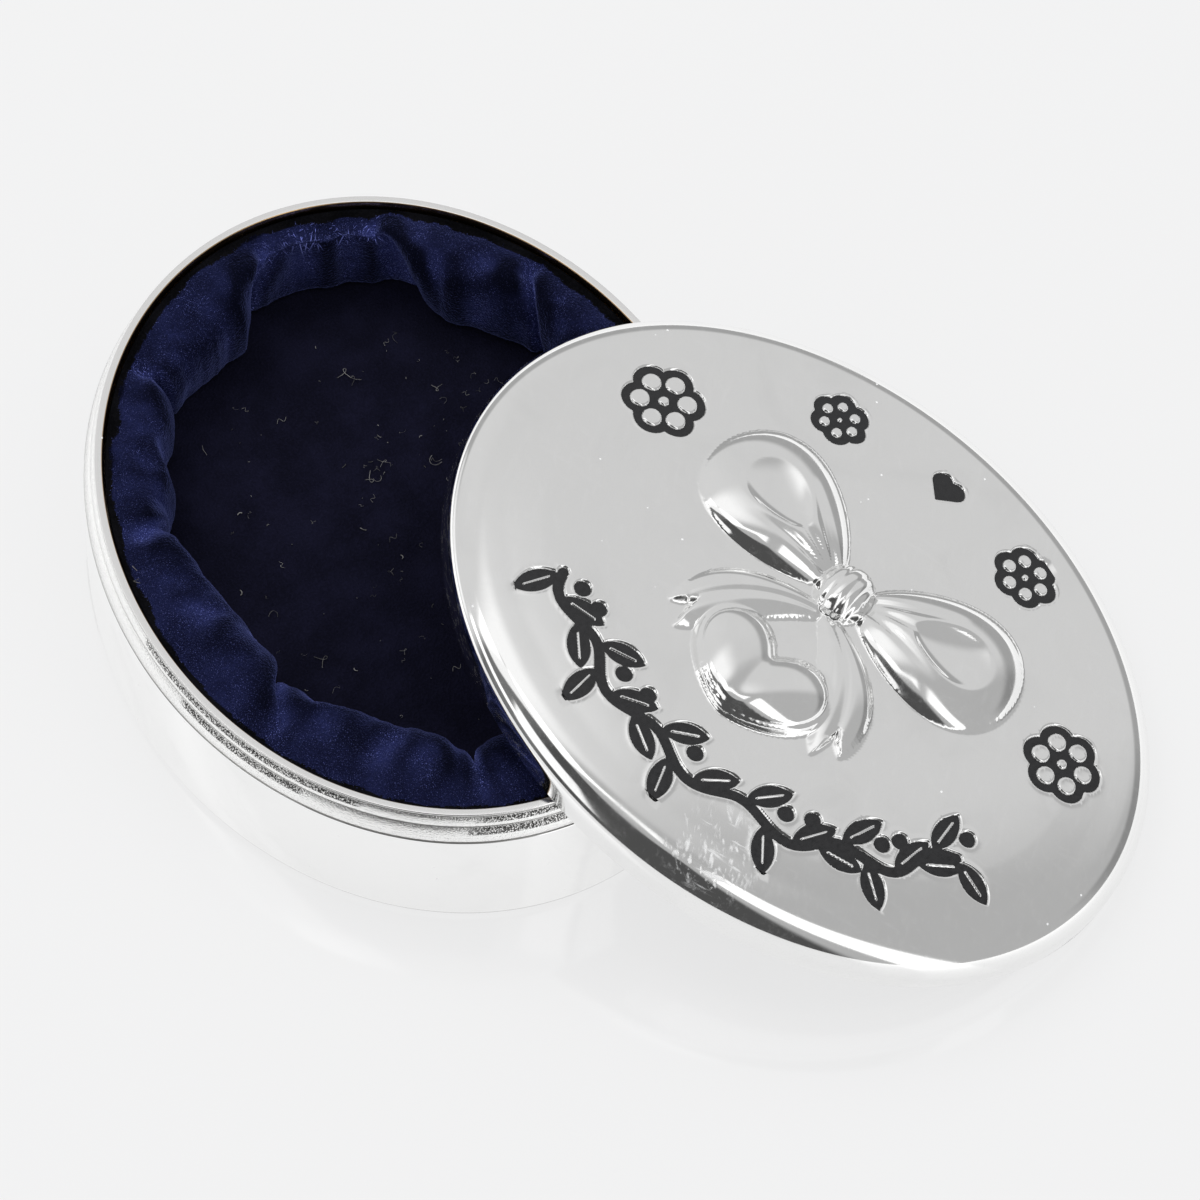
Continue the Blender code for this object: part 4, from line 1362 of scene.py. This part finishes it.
def to_cut(x, y):
    """Distance to the nearest edge of the engraving, negative inside a cut."""
    least = np.full(x.shape, FAR)
    near = np.flatnonzero((y < 0) & (np.abs(ring_of(x, y) - GARLAND_RING) < CUT_SEARCH[0]))
    least[near] = to_garland(x[near], y[near])
    for bearing, ring, size in FLOWERS:
        middle = oval_point(bearing, ring)
        near = np.flatnonzero(np.hypot(x - middle[0], y - middle[1]) < size + CUT_SEARCH[1])
        flower = to_flower(x[near], y[near], middle, math.radians(bearing), size)
        least[near] = np.minimum(least[near], flower)
    bearing, ring, size = SMALL_HEART
    return np.minimum(least, to_heart(x, y, oval_point(bearing, ring), size))


def lid_top(x, y):
    """Height of the lid's outer face: dome, struck forms, cuts and the burr beside them."""
    cut = to_cut(x, y)
    inside = np.clip((CUT_WALL - cut) / (2 * CUT_WALL), 0, 1)
    groove = CUT_DEPTH * inside ** 2 * (3 - 2 * inside)
    high, away, wide = BURR
    burr = high * np.exp(-((cut - away) / wide) ** 2)
    return dome(ring_of(x, y)) + relief(x, y) - groove + burr


def disc_grid(cells):
    """Square grid drawn onto the dome's oval, as points and quads."""
    side = np.linspace(-1, 1, cells + 1)
    a, b = np.meshgrid(side, side, indexing="ij")
    wide = np.abs(a) > np.abs(b)
    with np.errstate(divide="ignore", invalid="ignore"):
        turn = np.where(wide, math.pi / 4 * b / a, math.pi / 2 - math.pi / 4 * a / b)
    turn = np.nan_to_num(turn)
    reach = np.where(wide, a, b)
    radius = np.abs(reach) * DISC_REACH
    x, y = DISC_REACH * reach * np.cos(turn), DISC_REACH * reach * np.sin(turn) * squeeze(radius)
    corner = np.arange((cells + 1) ** 2).reshape(cells + 1, cells + 1)
    quads = np.stack([corner[:-1, :-1], corner[1:, :-1], corner[1:, 1:], corner[:-1, 1:]], 2).reshape(-1, 4)
    return np.stack([x.ravel(), y.ravel()], 1), quads.tolist()


def split_where(form, wanted):
    """Split each quad of a flat mesh in four where wanted says so of its middle."""
    middles = np.array([face.calc_center_median()[:2] for face in form.faces])
    chosen = wanted(middles[:, 0], middles[:, 1])
    edges = {edge for face, pick in zip(form.faces, chosen) if pick and len(face.verts) == 4
             for edge in face.edges}
    bmesh.ops.subdivide_edges(form, edges=list(edges), cuts=1, use_grid_fill=True)


def worked(x, y):
    """Where the metal is struck or cut."""
    return (relief(x, y) > STRUCK_FROM) | (to_cut(x, y) < FINE_BY_CUT)


def steep(x, y):
    """Where a cut has its edge, or a struck form its outline or a crease."""
    here = relief(x, y)
    slope = np.hypot(relief(x + SLOPE_STEP, y) - here, relief(x, y + SLOPE_STEP) - here) / SLOPE_STEP
    return (np.abs(to_cut(x, y)) < FINEST_BY_CUT) | (slope > STEEP_FROM)


spots, quads = disc_grid(GRID_CELLS)
flat = bmesh.new()
corners = [flat.verts.new((x, y, 0)) for x, y in spots]
for quad in quads:
    flat.faces.new([corners[index] for index in quad])
split_where(flat, worked)
split_where(flat, steep)
flat.verts.index_update()
spots = np.array([vertex.co[:2] for vertex in flat.verts])
top_faces = [[vertex.index for vertex in face.verts] for face in flat.faces]
flat.free()

around = 4 * GRID_CELLS
first_grid = spots[:(GRID_CELLS + 1) ** 2]
edge_ring = np.flatnonzero(ring_of(first_grid[:, 0], first_grid[:, 1]) > DISC_REACH - 0.001)
bearings = np.arctan2(spots[edge_ring, 1] / squeeze(DISC_REACH), spots[edge_ring, 0]) % (2 * math.pi)
edge_ring = edge_ring[np.argsort(np.round(bearings, 6) % round(2 * math.pi, 6))]

lid_profile = [(ring, dome(ring)) for ring in np.linspace(DISC_REACH, dome_edge, 5)[1:-1]]
lid_profile += arc(half_length - SHOULDER_WIDTH, SKIRT_HEIGHT, SHOULDER_WIDTH, SHOULDER_HEIGHT,
                   SHOULDER_END, 0, 24)
lid_profile += arc(half_length - EASED_EDGE, EASED_EDGE, EASED_EDGE, EASED_EDGE, 0, -90, 4)
lid_profile += [(half_length - LID_WALL, 0), (half_length - LID_WALL, SKIRT_HEIGHT)]
lid_profile += arc(half_length - SHOULDER_WIDTH, SKIRT_HEIGHT, SHOULDER_WIDTH - LID_WALL,
                   SHOULDER_HEIGHT - LID_TOP_WALL, 0, SHOULDER_END, 8)[1:]
lid_profile += [(dome_edge * share, dome(dome_edge * share) - LID_TOP_WALL) for share in (0.75, 0.5, 0.25)]
top_points = np.column_stack([spots, lid_top(spots[:, 0], spots[:, 1])])
side_points = turned_points(lid_profile, around).reshape(-1, 3)
first = len(top_points)
lid_faces = top_faces + band_faces(len(lid_profile), around, False, first)
last = first + (len(lid_profile) - 1) * around
middle = first + len(side_points)
for step in range(around):
    after = (step + 1) % around
    lid_faces.append((int(edge_ring[step]), first + step, first + after, int(edge_ring[after])))
    lid_faces.append((last + step, middle, last + after))
underside = [[0, 0, dome(0) - LID_TOP_WALL]]
lid = mesh_object("lid_dome", np.concatenate([top_points, side_points, underside]), lid_faces)
to_lid(lid)
scratched = lid_place @ Vector((*oval_point(*LID_SCRATCHES), float(dome(LID_SCRATCHES[1]))))
lid.data.materials.append(silver("polished_plate_lid", (0.93, 0.93, 0.925), 0.07, 0.14, spot=scratched,
                                 density=LID_SCRATCH_DENSITY, ripple=0.12))
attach(lid, "lid")
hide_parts("lid_shell")


# Enamel: black stove enamel wiped into the cuts of the lid. It lies a little lower than the
# metal and is made as a film over the cut parts of the dome's grid.
ENAMEL_DROP = 0.12
ENAMEL_THICKNESS = 0.2
ENAMEL_RIPPLE = 0.02
ENAMEL_REACH = 0.13
ENAMEL_COLOURS = ((0.004, 0.004, 0.005), (0.02, 0.02, 0.022))

cut_at = to_cut(spots[:, 0], spots[:, 1])
inlaid = [face for face in top_faces if max(cut_at[index] for index in face) < ENAMEL_REACH]
used = sorted({index for face in inlaid for index in face})
order = {index: place for place, index in enumerate(used)}
fill = spots[used]
fill_height = dome(ring_of(fill[:, 0], fill[:, 1])) - ENAMEL_DROP
fill_height += ENAMEL_RIPPLE * swell(fill[:, 0], fill[:, 1], 0.5, 7.0)
enamel = mesh_object("black_enamel_fill", np.column_stack([fill, fill_height]),
                     [[order[index] for index in face] for face in inlaid])
to_lid(enamel)
solid = enamel.modifiers.new("thickness", "SOLIDIFY")
solid.thickness = ENAMEL_THICKNESS * MM
solid.offset = -1
stoved, tree, shader, place = new_finish("black_enamel")
grit = cloud(tree, place, 2600.0, 3.0)
tree.links.new(mix(tree, grit, *ENAMEL_COLOURS), shader.inputs["Base Color"])
tree.links.new(ramp(tree, grit, 0.3, 0.7, 0.18, 0.45), shader.inputs["Roughness"])
bumped(tree, shader, grit, 0.00004)
enamel.data.materials.append(stoved)
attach(enamel, "lid")


# Lid lining: a card disc with navy velvet drawn over it, glued under the dome. The velvet is a
# thin pad that follows the dome and has no folds.
LID_PAD_MARGIN = 6.0
CARD_THICKNESS = 0.4
VELVET_THICKNESS = 0.6

pad_edge = half_length - LID_PAD_MARGIN
pad_top = dome(0) - LID_TOP_WALL - FIT - CARD_THICKNESS - FIT


def pad_row(share, drop):
    """Radius and height of the lining at a share of its reach, a depth under its top."""
    return pad_edge * share, pad_top - drop - DOME_RISE * (pad_edge * share / dome_edge) ** 2


half_thick = VELVET_THICKNESS / 2
pad_profile = [pad_row(share / 20, 0.0) for share in range(20)]
pad_profile += [(pad_edge - half_thick + across, pad_row(1.0, half_thick)[1] + up)
                for across, up in arc(0, 0, half_thick, half_thick, 90, -90, 8)]
pad_profile += [pad_row(share / 20, VELVET_THICKNESS) for share in range(19, -1, -1)]
lining = turned("lid_lining", pad_profile, 180)
to_lid(lining)
lining.data.materials.append(velvet_finish("navy_velvet_lid", (0.002, 0.0024, 0.016), (0.004, 0.005, 0.034),
                                           0.4, (0.05, 0.07, 0.55)))
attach(lining, "lid")
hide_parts("lid_velvet")
